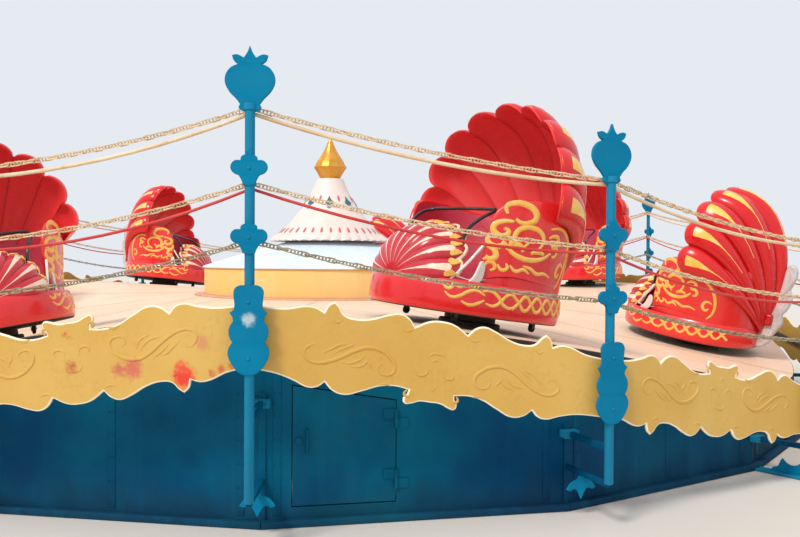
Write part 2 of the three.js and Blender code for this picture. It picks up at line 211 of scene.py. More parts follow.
# turned shape round z from a profile of (radius, height)
def turnedMesh(profile, sides, sweep=2 * math.pi, start=0, ring=False):
    bm = bmesh.new()
    spots = [bm.verts.new((r * math.cos(start), r * math.sin(start), z)) for r, z in profile]
    if ring:
        spots.append(spots[0])
    edges = [bm.edges.new((a, b)) for a, b in zip(spots, spots[1:])]
    full = sweep > 6.28
    bmesh.ops.spin(bm, geom=list(bm.verts) + edges, cent=(0, 0, 0), axis=(0, 0, 1), angle=sweep, steps=sides,
                   use_merge=full, use_duplicate=False)
    bmesh.ops.remove_doubles(bm, verts=bm.verts, dist=1e-5)
    if not full:
        bmesh.ops.holes_fill(bm, edges=bm.edges, sides=0)
    bmesh.ops.recalc_face_normals(bm, faces=bm.faces)
    return meshFrom(bm, "turned")


def boxMesh(size, edge=0.004):
    bm = bmesh.new()
    bmesh.ops.create_cube(bm, size=1)
    bmesh.ops.scale(bm, vec=size, verts=bm.verts)
    bmesh.ops.bevel(bm, geom=list(bm.edges), offset=edge, affect="EDGES", segments=2, profile=0.5,
                    material=-1)
    return meshFrom(bm, "box")


def stamp(bm, mesh, place=None, paint=0):
    copy = mesh.copy()
    if place is not None:
        copy.transform(place)
        if place.determinant() < 0:
            copy.flip_normals()
    for face in copy.polygons:
        face.material_index += paint
    bm.from_mesh(copy)
    bpy.data.meshes.remove(copy)


def finishPiece(name, bm, body, looks, nodes=(), smooth=38):
    mesh = meshFrom(bm, name)
    for look in looks:
        mesh.materials.append(look)
    mesh.shade_smooth()
    mesh.set_sharp_from_angle(angle=math.radians(smooth))
    obj = bpy.data.objects.new(name, mesh)
    scene.collection.objects.link(obj)
    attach(obj, body)
    if nodes:
        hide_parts(*nodes)


# shader groups, built once and used by several finishes
socketKinds = {
    "Vector": "NodeSocketVector", "Paint": "NodeSocketColor", "Faded": "NodeSocketColor",
    "Dirt": "NodeSocketColor", "Color": "NodeSocketColor",
}


def makeGroup(name, inputs, outputs):
    tree = bpy.data.node_groups.new(name, "ShaderNodeTree")
    for way, titles in (("INPUT", inputs), ("OUTPUT", outputs)):
        for title in titles:
            kind = socketKinds.get(title, "NodeSocketFloat")
            tree.interface.new_socket(title, in_out=way, socket_type=kind)
    given = tree.nodes.new("NodeGroupInput").outputs
    return tree, given, tree.nodes.new("NodeGroupOutput").inputs


def finishGroup(tree, made, **sources):
    for title, source in sources.items():
        tree.links.new(source, made[title])
    return tree


def addNode(tree, kind, links, **values):
    node = tree.nodes.new(kind)
    for key, value in values.items():
        setattr(node, key, value)
    for key, source in links.items():
        socket = node.inputs[key]
        if hasattr(source, "links"):
            tree.links.new(source, socket)
        else:
            socket.default_value = source
    return node


def useGroup(tree, group, links):
    return addNode(tree, "ShaderNodeGroup", links, node_tree=group).outputs


def rangeNode(tree, value, low, high):
    links = {0: value, 1: low, 2: high}
    return addNode(tree, "ShaderNodeMapRange", links, interpolation_type="SMOOTHSTEP").outputs[0]


def mathNode(tree, operation, *values):
    return addNode(tree, "ShaderNodeMath", dict(enumerate(values)), operation=operation).outputs[0]


def times(tree, a, b):
    return mathNode(tree, "MULTIPLY", a, b)


def plus(tree, a, b):
    return mathNode(tree, "ADD", a, b)


def minus(tree, a, b):
    return mathNode(tree, "SUBTRACT", a, b)


def mixColour(tree, factor, a, b):
    return addNode(tree, "ShaderNodeMix", {0: factor, 6: a, 7: b}, data_type="RGBA").outputs[2]


def noise(tree, vector, scale, detail=4.0, rough=0.55):
    links = {"Vector": vector, "Scale": scale, "Detail": detail, "Roughness": rough}
    return addNode(tree, "ShaderNodeTexNoise", links).outputs[0]


paintTitles = ("Paint", "Faded", "Dirt", "Patch", "Fade", "Grime", "Rough")


def buildPaintAge():
    tree, given, made = makeGroup("paintAge", ("Vector", *paintTitles), ("Color", "Roughness", "Height"))
    place, patch = given["Vector"], given["Patch"]
    broad = noise(tree, place, patch, 6.0, 0.6)
    fading = times(tree, rangeNode(tree, broad, 0.35, 0.72), given["Fade"])
    colour = mixColour(tree, fading, given["Paint"], given["Faded"])
    fine = noise(tree, place, 38.0, 8.0, 0.7)
    coarse = noise(tree, place, times(tree, patch, 3.1), 5.0, 0.65)
    spots = times(tree, rangeNode(tree, fine, 0.42, 0.75), rangeNode(tree, coarse, 0.38, 0.7))
    grime = times(tree, spots, given["Grime"])
    colour = mixColour(tree, grime, colour, given["Dirt"])
    rough = plus(tree, given["Rough"], times(tree, minus(tree, coarse, 0.4), 0.35))
    rough = plus(tree, rough, times(tree, grime, 0.5))
    height = plus(tree, times(tree, coarse, 0.6), times(tree, fine, 0.25))
    return finishGroup(tree, made, Color=colour, Roughness=rough, Height=height)


def buildPaintChips():
    tree, given, made = makeGroup("paintChips", ("Vector", "Size", "Amount"), ("Chip", "Core"))
    place, size = given["Vector"], given["Size"]
    shape = noise(tree, place, size, 9.0, 0.72)
    where = noise(tree, place, times(tree, size, 0.23), 2.0, 0.5)
    level = minus(tree, 0.86, times(tree, given["Amount"], 0.3))
    both = plus(tree, times(tree, shape, 0.6), times(tree, where, 0.6))
    chip = rangeNode(tree, both, level, plus(tree, level, 0.02))
    core = rangeNode(tree, both, plus(tree, level, 0.03), plus(tree, level, 0.05))
    return finishGroup(tree, made, Chip=chip, Core=core)


def buildDamp():
    tree, given, made = makeGroup("dampFoot", ("Vector", "High", "Amount"), ("Mask",))
    place = given["Vector"]
    height = addNode(tree, "ShaderNodeSeparateXYZ", {0: place}).outputs[2]
    uneven = times(tree, minus(tree, noise(tree, place, 3.4, 6.0, 0.65), 0.5), 0.5)
    low = rangeNode(tree, plus(tree, height, uneven), given["High"], 0.0)
    return finishGroup(tree, made, Mask=times(tree, low, given["Amount"]))


paintAge, paintChips, dampFoot = buildPaintAge(), buildPaintChips(), buildDamp()


def rgb(*values):
    linear = [v / 255 / 12.92 if v <= 10 else ((v / 255 + 0.055) / 1.055) ** 2.4 for v in values]
    return (*linear, 1)


def newMaterial(name):
    look = bpy.data.materials.new(name)
    look.use_nodes = True
    tree = look.node_tree
    place = tree.nodes.new("ShaderNodeTexCoord").outputs["Object"]
    return look, tree, tree.nodes["Principled BSDF"], place


# what is left out of a paint's settings; grime, fade and patch set how much it has aged
paintUsual = {"dirt": rgb(70, 60, 50), "fade": 0.8, "grime": 0.3, "rough": 0.4}


def agePaint(tree, place, s):
    s = {**paintUsual, **s}
    links = {title: s[title.lower()] for title in paintTitles}
    return useGroup(tree, paintAge, {"Vector": place, **links})


valueSockets = {
    "metal": "Metallic", "coat": "Coat Weight", "coatRough": "Coat Roughness", "gloss": "Specular IOR Level",
}


def finishPaint(tree, shader, colour, rough, height, strength, **values):
    links = {"Height": height, "Strength": strength, "Distance": 0.004}
    bump = addNode(tree, "ShaderNodeBump", links).outputs[0]
    for title, source in (("Base Color", colour), ("Roughness", rough), ("Normal", bump)):
        tree.links.new(source, shader.inputs[title])
    for key, value in values.items():
        shader.inputs[valueSockets[key]].default_value = value


# a painted surface that has aged out of doors, its extras by keyword in the settings
def painted(name, s):
    look, tree, shader, place = newMaterial(name)
    age = agePaint(tree, place, s)
    colour, rough = age["Color"], age["Roughness"]
    if "damp" in s:
        high, amount, dampColour = s["damp"]
        mask = useGroup(tree, dampFoot, {"Vector": place, "High": high, "Amount": amount})["Mask"]
        colour = mixColour(tree, mask, colour, dampColour)
        rough = plus(tree, rough, times(tree, mask, 0.25))
    # painted highlight: sharp edges are turned a paler shade of the paint
    if "edge" in s:
        worn = addNode(tree, "ShaderNodeNewGeometry", {}).outputs["Pointiness"]
        edgeHighlight = times(tree, rangeNode(tree, worn, 0.52, 0.6), s["edgeHighlightAmount"])
        colour = mixColour(tree, edgeHighlight, colour, s["edge"])
    if "streaks" in s:
        size, amount, streakColour = s["streaks"]
        mapped = addNode(tree, "ShaderNodeMapping", {"Vector": place, "Scale": (1, 1, 0.07)}).outputs[0]
        run = rangeNode(tree, noise(tree, mapped, size, 5.0, 0.6), 0.5, 0.75)
        colour = mixColour(tree, times(tree, run, amount), colour, streakColour)
    if "chips" in s:
        size, amount, chipColour, coreColour = s["chips"]
        chips = useGroup(tree, paintChips, {"Vector": place, "Size": size, "Amount": amount})
        colour = mixColour(tree, chips["Chip"], colour, chipColour)
        colour = mixColour(tree, chips["Core"], colour, coreColour)
        rough = plus(tree, rough, times(tree, chips["Chip"], 0.3))
    for spot, size, strength, spotColour in s.get("rubs", ()):
        gap = addNode(tree, "ShaderNodeVectorMath", {0: place, 1: spot}, operation="DISTANCE").outputs
        ragged = plus(tree, gap["Value"], times(tree, noise(tree, place, 45.0, 6.0), size * 0.9))
        near = rangeNode(tree, ragged, size * 1.35, size * 0.75)
        colour = mixColour(tree, times(tree, near, strength), colour, spotColour)
    finishPaint(tree, shader, colour, rough, age["Height"], s.get("bump", 0.15), metal=s.get("metal", 0.0),
                coat=s.get("coat", 0.0), coatRough=0.12, gloss=s.get("gloss", 0.5))
    return look


paints = {
    "postBlue": dict(
        paint=rgb(0, 112, 152), faded=rgb(0, 130, 168), gloss=0.06, patch=1.6, fade=0.7, rough=0.38,
        # edge: a paler blue, painted highlight on the sharp edges of the posts
        grime=0.25, edge=rgb(60, 150, 180), edgeHighlightAmount=0.3,
        chips=(14.0, 0.02, rgb(120, 165, 175), rgb(90, 60, 45)),
        rubs=[((0.0, -6.18, 1.31), 0.055, 0.8, rgb(190, 205, 210))]),
    "wallBlue": dict(
        gloss=0.06, paint=rgb(0, 66, 106), faded=rgb(0, 108, 134), patch=0.7, rough=0.42, grime=0.35,
        bump=0.25, dirt=rgb(40, 52, 60), streaks=(5.0, 0.3, rgb(24, 100, 134)),
        damp=(0.34, 0.55, rgb(28, 44, 58)), chips=(7.0, 0.03, rgb(70, 105, 125), rgb(80, 60, 48))),
    "doorBlue": dict(
        gloss=0.06, paint=rgb(0, 76, 112), faded=rgb(0, 110, 134), patch=1.1, rough=0.42, grime=0.35,
        bump=0.25, streaks=(6.0, 0.25, rgb(30, 106, 138)), damp=(0.3, 0.4, rgb(30, 48, 62))),
    "fasciaYellow": dict(
        paint=rgb(208, 162, 72), faded=rgb(218, 178, 94), patch=1.2, rough=0.48, dirt=rgb(150, 105, 50),
        bump=0.2, chips=(5.5, 0.07, rgb(206, 70, 48), rgb(118, 58, 40)),
        rubs=[((-0.385, -6.08, 0.975), 0.105, 1.0, rgb(224, 58, 34)),
              ((-0.4, -6.08, 1.03), 0.065, 0.9, rgb(226, 74, 50)),
              ((-0.775, -6.015, 1.005), 0.07, 0.9, rgb(200, 96, 80)),
              ((-0.69, -6.03, 1.012), 0.095, 0.9, rgb(206, 98, 84)),
              ((-0.225, -6.11, 1.0), 0.045, 0.9, rgb(196, 74, 52)),
              ((-0.165, -6.12, 1.022), 0.05, 0.9, rgb(204, 70, 50)),
              ((-0.105, -6.13, 1.045), 0.045, 0.9, rgb(196, 74, 52)),
              ((-1.1, -5.955, 1.2), 0.04, 0.95, rgb(196, 60, 36)),
              ((-1.06, -5.962, 1.01), 0.065, 0.75, rgb(184, 92, 52)),
              ((-0.28, -6.1, 1.17), 0.07, 0.65, rgb(206, 124, 96))]),
    # the cream on the fascia rims is a painted highlight, standing in for the light on the panel edges
    "fasciaRimHighlight": dict(paint=rgb(255, 244, 216), faded=rgb(248, 228, 190), patch=3.0, fade=0.7, rough=0.5),
    "railSteel": dict(
        paint=rgb(96, 92, 84), faded=rgb(120, 96, 70), patch=4.0, rough=0.55, grime=0.5, metal=0.3),
    "chainCream": dict(
        paint=rgb(228, 206, 168), faded=rgb(206, 170, 122), patch=9.0, rough=0.5, grime=0.5,
        dirt=rgb(110, 66, 36)),
    "chainDull": dict(
        paint=rgb(180, 168, 138), faded=rgb(150, 128, 98), patch=9.0, rough=0.55, grime=0.6,
        dirt=rgb(74, 44, 28), metal=0.3),
    "ropeCream": dict(paint=rgb(238, 216, 178), faded=rgb(222, 176, 136), patch=3.0, rough=0.7, grime=0.4),
    "hoseRed": dict(
        paint=rgb(206, 42, 40), faded=rgb(222, 84, 74), patch=2.0, fade=0.7, rough=0.35, grime=0.25),
    "darkSteel": dict(
        paint=rgb(52, 48, 48), faded=rgb(76, 62, 54), patch=3.0, rough=0.55, grime=0.6, dirt=rgb(96, 62, 42),
        metal=0.2, bump=0.3),
    "drumYellow": dict(
        paint=rgb(244, 204, 122), faded=rgb(246, 216, 152), patch=0.9, rough=0.45, grime=0.2,
        dirt=rgb(190, 140, 80), streaks=(4.0, 0.3, rgb(232, 180, 104))),
    "roofPale": dict(
        paint=rgb(214, 230, 242), faded=rgb(240, 244, 248), patch=0.8, fade=0.9, grime=0.2,
        dirt=rgb(150, 165, 180), bump=0.2),
    "canopyWhite": dict(
        paint=rgb(236, 222, 214), faded=rgb(228, 206, 196), patch=1.6, fade=0.7, rough=0.42, grime=0.25,
        dirt=rgb(180, 160, 140)),
    "motifPink": dict(paint=rgb(206, 92, 96), faded=rgb(216, 128, 126), patch=8.0, fade=0.7, rough=0.45),
    "motifTeal": dict(paint=rgb(38, 98, 118), faded=rgb(64, 122, 134), patch=8.0, fade=0.7),
    "motifBlue": dict(paint=rgb(84, 150, 210), faded=rgb(110, 168, 214), patch=8.0, fade=0.7),
    "goldPaint": dict(
        paint=rgb(244, 184, 74), faded=rgb(250, 206, 120), patch=7.0, fade=0.6, rough=0.38, grime=0.35,
        dirt=rgb(140, 76, 24), coat=0.2),
    "finialGold": dict(
        paint=rgb(216, 150, 48), faded=rgb(236, 176, 84), patch=5.0, fade=0.7, rough=0.32, metal=0.55,
        dirt=rgb(120, 70, 24)),
    # deck cream darkened to a pink: painted shade for the ring's upright face
    "riserPinkShade": dict(
        paint=rgb(214, 158, 130), faded=rgb(226, 178, 152), patch=6.0, fade=0.7, rough=0.5, grime=0.4),
}
looks = {name: painted(name, s) for name, s in paints.items()}


# floor paint with a joint line at every floor section, dirt gathering along them
deckLook = {
    "sections": 18, "line": 0.006, "lineColour": rgb(112, 84, 66), "soilReach": 0.09,
    "paint": rgb(238, 204, 172), "faded": rgb(246, 222, 196), "dirt": rgb(168, 128, 98),
    "patch": 0.8, "grime": 0.35, "rough": 0.5,
}


def deckPaint(s):
    look, tree, shader, place = newMaterial("deckCream")
    age = agePaint(tree, place, s)
    parts = addNode(tree, "ShaderNodeSeparateXYZ", {0: place}).outputs
    turn = mathNode(tree, "ARCTAN2", parts[1], parts[0])
    squares = [mathNode(tree, "POWER", parts[i], 2.0) for i in (0, 1)]
    reach = mathNode(tree, "SQRT", plus(tree, *squares))
    step = 2 * math.pi / s["sections"]
    phase = mathNode(tree, "PINGPONG", plus(tree, turn, 10 * math.pi + step / 2), step / 2)
    gap = times(tree, phase, reach)
    line = rangeNode(tree, gap, s["line"], s["line"] * 0.4)
    soil = times(tree, rangeNode(tree, gap, s["soilReach"], 0.0), noise(tree, place, 6.0, 6.0, 0.7))
    colour = mixColour(tree, times(tree, soil, 0.4), age["Color"], s["dirt"])
    colour = mixColour(tree, times(tree, line, 0.75), colour, s["lineColour"])
    finishPaint(tree, shader, colour, age["Roughness"], minus(tree, age["Height"], line), 0.25)
    return look


looks["deckCream"] = deckPaint(deckLook)
print("finishes ready")

# posts: a pipe with a pomegranate head, two knots and a shield, held by arms, over a fleur or a leaf foot
postLook = {
    "head": [
        (0, 0.184, 1), (0.013, 0.150), (0.034, 0.119, 1), (0.072, 0.136), (0.099, 0.131, 1), (0.087, 0.1),
        (0.066, 0.084, 1), (0.111, 0.06), (0.138, 0), (0.117, -0.062), (0.073, -0.11), (0.054, -0.136, 1),
        (0.061, -0.156), (0.03, -0.176), (0, -0.184, 1)],
    "knot": [
        (0, 0.105, 1), (0.019, 0.092), (0.022, 0.075, 1), (0.043, 0.062), (0.046, 0.044, 1), (0.08, 0.041),
        (0.101, 0.01), (0.09, -0.022), (0.056, -0.04, 1), (0.041, -0.066), (0.033, -0.088, 1), (0, -0.094)],
    "shield": [
        (0, 0.243), (0.045, 0.247), (0.078, 0.225), (0.08, 0.172), (0.077, 0.13), (0.087, 0.108),
        (0.105, 0.096, 1), (0.088, 0.072), (0.084, 0.05, 1), (0.104, 0.018), (0.108, -0.02), (0.098, -0.052),
        (0.088, -0.066, 1), (0.107, -0.095), (0.113, -0.135), (0.098, -0.175), (0.082, -0.2), (0.05, -0.235),
        (0, -0.248)],
    "leaf": [
        (0, 0, 1), (-0.32, 0, 1), (-0.30, 0.045), (-0.262, 0.062), (-0.245, 0.1), (-0.228, 0.128, 1),
        (-0.2, 0.1), (-0.165, 0.085), (-0.125, 0.09), (-0.09, 0.112), (-0.04, 0.118), (0, 0.145, 1)],
    "fleur": [
        (0, 0.088, 1), (0.012, 0.062), (0.03, 0.04), (0.058, 0.03), (0.086, 0.01), (0.106, -0.02, 1),
        (0.084, -0.03), (0.056, -0.02), (0.034, -0.026, 1), (0.018, -0.052), (0, -0.088, 1)],
    "plates": {
        "head": (0.026, 0.004), "knot": (0.022, 0.004), "shield": (0.018, 0.004), "fleur": (0.014, 0.003)},
    "onFront": (
        ("head", 0, 0), ("knot", 0.488, 0.025), ("knot", 0.865, 0.025), ("shield", 1.374, 0.029),
        ("bolt", 0.488, 0.036), ("bolt", 0.865, 0.036), ("bolt", 1.22, 0.038), ("bolt", 1.53, 0.038)),
    "clampsBelow": (0.15, 0.565, 0.885), "neckBelow": 0.15, "footHeight": 0.29, "fleurRadius": 5.86,
    "fleurBelow": 0.085, "armHeight": 0.765, "kerbRadius": 5.7178, "kerbHeight": 0.0225,
}


def bothSides(half):
    other = [(-p[0], *p[1:]) for p in half[::-1] if p[0] > 1e-6]
    return half + other


def outward(k):
    a = angleOf(k)
    return Vector((math.cos(a), math.sin(a), 0)), Vector((-math.sin(a), math.cos(a), 0))


# the small parts of a post, made once
def makePostParts(s):
    parts = {name: plateMesh(bothSides(s[name]), *sizes) for name, sizes in s["plates"].items()}
    parts["bolt"] = turnedMesh([(0, 0.007), (0.006, 0.007), (0.009, 0.004), (0.009, 0), (0, 0)], 8)
    clamp = [(0.031, -0.02), (0.036, -0.016), (0.036, 0.016), (0.031, 0.02)]
    parts["clamp"] = turnedMesh(clamp, 20, ring=True)
    hook = [(-0.03, 0, 0), (-0.048, 0, 0), (-0.05, 0, 0.02), (-0.036, 0, 0.022)]
    parts["hook"] = bentBar(hook, 0.005, 1, 3)
    return parts


def stampPost(bm, parts, s, k):
    out, side = outward(k)
    r, wall, lift = ride["postRadius"], ride["wallRadius"], liftAt(k)
    top, neck = ride["headHeight"] + lift, ride["headHeight"] + lift - s["neckBelow"]
    hung = lift > -0.4  # the high posts hang from the wall, the low ones stand on the ground
    end = s["footHeight"] if hung else 0.001
    pipe = [(0, end), (0.025, end), (0.028, end + 0.004), (0.028, top - 0.152), (0.024, neck), (0, neck)]
    stamp(bm, turnedMesh(pipe, 20), axes(side, -out, up, out * r))
    for name, below, ahead in s["onFront"]:
        stamp(bm, parts[name], axes(side, up, out, out * (r + ahead) + up * (top - below)))
    for below in s["clampsBelow"]:
        stamp(bm, parts["clamp"], axes(side, -out, up, out * r + up * (top - below)))
        stamp(bm, parts["hook"], axes(out, side, up, out * r + up * (top - below - 0.02)))
    span = r - wall
    halfway = out * (r - span / 2 + 0.0003)
    armHeight = s["armHeight"] + lift * 0.75
    arm = up * armHeight
    if hung:
        tall = armHeight + 0.06
        strap = out * (wall + 0.0073) + up * tall / 2
        stamp(bm, boxMesh((0.012, 0.044, tall)), axes(out, side, up, strap), 1)
        stamp(bm, boxMesh((span, 0.034, 0.03)), axes(out, side, up, halfway + up * (end - 0.005)), 1)
        fleur = out * s["fleurRadius"] + up * (end - s["fleurBelow"])
        stamp(bm, parts["fleur"], axes(side, up, out, fleur))
    else:
        low = 0.6 if lift < -0.8 else 1
        leaf = plateMesh([(x, y * low, *c) for x, y, *c in s["leaf"]], 0.014, 0.003)
        stamp(bm, leaf, axes(out, up, -side, out * r + up * 0.003))
        foot = out * (r - span / 2 + 0.004) + up * 0.012
        stamp(bm, boxMesh((span - 0.01, 0.09, 0.02)), axes(out, side, up, foot))
    stamp(bm, boxMesh((span, 0.034, 0.04)), axes(out, side, up, halfway + arm), 1)
    stamp(bm, boxMesh((0.07, 0.11, 0.05)), axes(out, side, up, out * (wall + 0.036) + arm))
    for dx in (-0.03, 0.03):
        stamp(bm, parts["bolt"], axes(side, up, out, out * (wall + 0.071) + side * dx * 1.2 + arm))


# low kerb along the foot of the wall
def kerbMesh(first, s):
    bm = bmesh.new()
    spots = []
    for k in [first - 0.03, *range(first, first + 6), first + 5.03]:
        base = math.floor(k + 1e-9)
        a, b = (polar(s["kerbRadius"], angleOf(corner), s["kerbHeight"]) for corner in (base, base + 1))
        spots.append(a.lerp(b, k - base))
    for a, b in zip(spots, spots[1:]):
        along = b - a
        out = up.cross(along).normalized() * -1
        place = axes(along.normalized(), -out, up, (a + b) / 2)
        stamp(bm, boxMesh((along.length + 0.004, 0.052, 0.043), 0.005), place)
    return meshFrom(bm, "kerb")


def buildPosts(s):
    parts = makePostParts(s)
    for part, first in thirds.items():
        bm = bmesh.new()
        for k in range(first, first + 6):
            stampPost(bm, parts, s, k)
        stamp(bm, kerbMesh(first, s), None, 1)
        finishPiece("posts" + part.capitalize(), bm, "structure",
                    [looks["postBlue"], looks["wallBlue"]], ["posts_" + part])


buildPosts(postLook)
print("posts ready")


# fascia panels with a cream painted highlight along the rim and raised scrolls; every second one hangs the
# other way up
fasciaLook = {
    "tab": [
        (0, 0.232), (0.06, 0.234), (0.105, 0.252), (0.14, 0.256), (0.152, 0.228), (0.135, 0.198),
        (0.13, 0.176, 1), (0.2, 0.166), (0.28, 0.176), (0.38, 0.22), (0.47, 0.254), (0.54, 0.238),
        (0.585, 0.198, 1), (0.62, 0.23), (0.67, 0.24), (0.75, 0.212), (0.85, 0.187), (1, 0.18, 1)],
    "plain": [
        (0, -0.246), (0.07, -0.236), (0.15, -0.19, 1), (0.185, -0.232), (0.235, -0.253), (0.3, -0.238),
        (0.4, -0.196), (0.48, -0.184), (0.54, -0.198), (0.575, -0.242), (0.6, -0.262, 1), (0.63, -0.24),
        (0.648, -0.196, 1), (0.69, -0.214), (0.74, -0.216), (0.85, -0.184), (1, -0.173, 1)],
    "scroll": [
        (-0.69, -0.02), (-0.715, 0.006), (-0.748, -0.006), (-0.77, -0.045), (-0.74, -0.084),
        (-0.684, -0.092), (-0.62, -0.074), (-0.55, -0.036), (-0.48, 0.008), (-0.41, 0.034), (-0.34, 0.028),
        (-0.28, -0.004), (-0.242, -0.05), (-0.25, -0.092), (-0.29, -0.108), (-0.33, -0.094),
        (-0.336, -0.064), (-0.312, -0.05)],
    "leaves": [
        [(-0.665, -0.034), (-0.62, -0.004), (-0.575, 0.026), (-0.535, 0.034)],
        [(-0.6, -0.026), (-0.56, 0.004), (-0.52, 0.026), (-0.49, 0.044)],
        [(-0.56, -0.072), (-0.5, -0.068), (-0.455, -0.046), (-0.42, -0.008)],
        [(-0.49, -0.09), (-0.44, -0.078), (-0.41, -0.05), (-0.396, -0.02)],
        [(-0.41, -0.03), (-0.39, -0.06), (-0.37, -0.088)]],
    "middle": [
        [(-0.055, 0.02), (-0.04, 0.046), (0, 0.055), (0.04, 0.046), (0.055, 0.02)],
        [(-0.03, 0.0), (-0.012, 0.016), (0.01, 0.014)],
        [(-0.045, -0.03), (-0.05, -0.066), (-0.085, -0.082), (-0.112, -0.066), (-0.1, -0.044)],
        [(0.045, -0.03), (0.05, -0.066), (0.085, -0.082), (0.112, -0.066), (0.1, -0.044)],
        [(-0.02, -0.13), (0, -0.155), (0.02, -0.13)], [(0, -0.165), (0, -0.13)]],
    "corners": [
        [(-0.15, -0.176), (-0.162, -0.2), (-0.14, -0.212), (-0.122, -0.196)],
        [(-0.32, -0.17), (-0.28, -0.158), (-0.25, -0.166)], [(-0.24, 0.17), (-0.2, 0.16), (-0.165, 0.176)],
        [(-0.64, 0.166), (-0.61, 0.15), (-0.585, 0.166)]],
    "thick": 0.022, "rim": 0.009, "stroke": 0.02,
}


def fasciaSpot(k):
    r = ride["postRadius"] - ride["pipe"] - 0.0178
    return polar(r, angleOf(k), ride["fasciaHeight"] + liftAt(k))


# a panel's outline from its upper and lower edges, slanted at the ends to stand upright on a slope
def fasciaOutline(s, half, lean, turn):
    outline = []
    edges = ((s["tab"], 1, False), (s["plain"], 1, True), (s["plain"], -1, False), (s["tab"], -1, True))
    for edge, sign, back in edges:
        pts = [(x * half * sign + (y * lean if x > 0.99 else 0), y * turn, *sharp) for x, y, *sharp in edge]
        pts = pts[::-1] if back else pts
        outline += [p for p in pts if not outline or math.dist(p[:2], outline[-1][:2]) > 1e-5]
    if math.dist(outline[0][:2], outline[-1][:2]) < 1e-5:
        outline.pop()
    return outline


def buildFascia(s):
    mirrored = [[(-x, y) for x, y in path] for path in [s["scroll"]] + s["leaves"] + s["corners"]]
    raised = strokeMesh([s["scroll"], mirrored[0]], s["stroke"] * 1.15, 0.75, 5)
    small = strokeMesh(s["leaves"] + s["corners"] + s["middle"] + mirrored[1:], s["stroke"] * 0.85, 0.75, 4)
    for part, first in thirds.items():
        bm = bmesh.new()
        for k in range(first, first + 6):
            a, b = fasciaSpot(k), fasciaSpot(k + 1)
            along = (b - a).normalized()
            half = (b - a).length / 2 - 0.003
            mid = (a + b) / 2
            out = polar(1, angleOf(k + 0.5), 0)
            high = out.cross(along)
            turn = 1 if k % 2 else -1
            lean = along.z / math.hypot(along.x, along.y) * turn
            panel = plateMesh(fasciaOutline(s, half, lean, turn), s["thick"], s["rim"], 6, 1)
            # the rim's bevel faces take the cream painted highlight
            for face in panel.polygons:
                face.material_index = 1 if abs(face.normal.z) < 0.97 and face.center.z > -0.002 else 0
            stamp(bm, panel, axes(along, high, out, mid + out * s["thick"] / 2))
            front = axes(along, high * -turn, out, mid + out * (s["thick"] - 0.0015))
            for mesh in (raised, small):
                stamp(bm, mesh, front)
            # the rail behind is cut short where two thirds of the ride meet
            ends = ((k + 1) % 6 == 0, (k + 2) % 6 == 0)
            run = (b - a).length + 0.016 - 0.016 * sum(ends)
            slip = 0.008 * (ends[0] - ends[1])
            rail = mid - out * 0.0125 + along * slip
            stamp(bm, boxMesh((run, 0.05, 0.026), 0.003), axes(along, high, out, rail), 2)
        finishPiece("fascia" + part.capitalize(), bm, "structure",
                    [looks["fasciaYellow"], looks["fasciaRimHighlight"], looks["railSteel"]], ["fascia_" + part])


buildFascia(fasciaLook)
print("fascia ready")


# chains of real links, and the rope and hose that hang under them, all round the ride
chain = dict(slot="chain_cream", pitch=0.04)
lines = {
    "chainUpper": dict(chain, node="chain_upper", below=0.15, sag=0.05, look="chainCream"),
    "ropeUpper": dict(
        node="rope_upper", below=0.178, sag=0.08, radius=0.012, look="ropeCream", slot="rope_cream"),
    "chainMiddle": dict(chain, node="chain_middle", below=0.565, sag=0.06, look="chainCream"),
    "hoseMiddle": dict(
        node="hose_middle", below=0.595, sag=0.095, radius=0.009, look="hoseRed", slot="hose_red"),
    "chainLower": dict(chain, node="chain_lower", below=0.885, sag=0.055, look="chainDull"),
}
lineLook = {"firstPost": 9, "linkReach": 0.012 * 0.866, "gap": 0.0013, "wire": 0.005, "linkWidth": 0.0155}


def hangingLine(s, steps):
    r = ride["postRadius"] - ride["pipe"] - lineLook["linkReach"] - lineLook["gap"]
    path = []
    for k in range(lineLook["firstPost"], lineLook["firstPost"] + ride["posts"]):
        a, b = (polar(r, angleOf(n), ride["headHeight"] + liftAt(n) - s["below"]) for n in (k, k + 1))
        for i in range(steps):
            t = i / steps
            sag = s["sag"] * (1 + 0.25 * math.sin(k * 2.3)) * 4 * t * (1 - t)
            path.append(a.lerp(b, t) - up * sag)
    return path


def linkMesh(s):
    wire, width = lineLook["wire"], lineLook["linkWidth"]
    half = s["pitch"] / 2 - width / 2 + wire * 1.3
    path = []
    for i in range(10):
        a = math.pi * (i if i < 5 else i - 1) / 4 - math.pi / 2
        end = half if i < 5 else -half
        path.append((math.cos(a) * width / 1.15 + end, math.sin(a) * width / 1.15, 0))
    return barMesh(path, wire, 0, True)


def buildChain(name, s):
    path = hangingLine(s, 14)
    path.append(path[0])
    link = linkMesh(s)
    total = sum((b - a).length for a, b in zip(path, path[1:]))
    count = round(total / s["pitch"] / 2) * 2
    bm = bmesh.new()
    done, i = 0.0, 0
    for n in range(count):
        want = (n + 0.5) * total / count
        while done + (path[i + 1] - path[i]).length < want:
            done += (path[i + 1] - path[i]).length
            i += 1
        step = path[i + 1] - path[i]
        along = step.normalized()
        spot = path[i] + along * (want - done)
        side = along.cross(up).normalized()
        high = side.cross(along)
        tilt = math.radians((35 if n % 2 else -52) + 14 * math.sin(n * 1.7))
        across = side * math.cos(tilt) + high * math.sin(tilt)
        stamp(bm, link, axes(along, across, along.cross(across), spot))
    finishPiece(name, bm, "structure", [looks[s["look"]]], [s["node"]], 60)


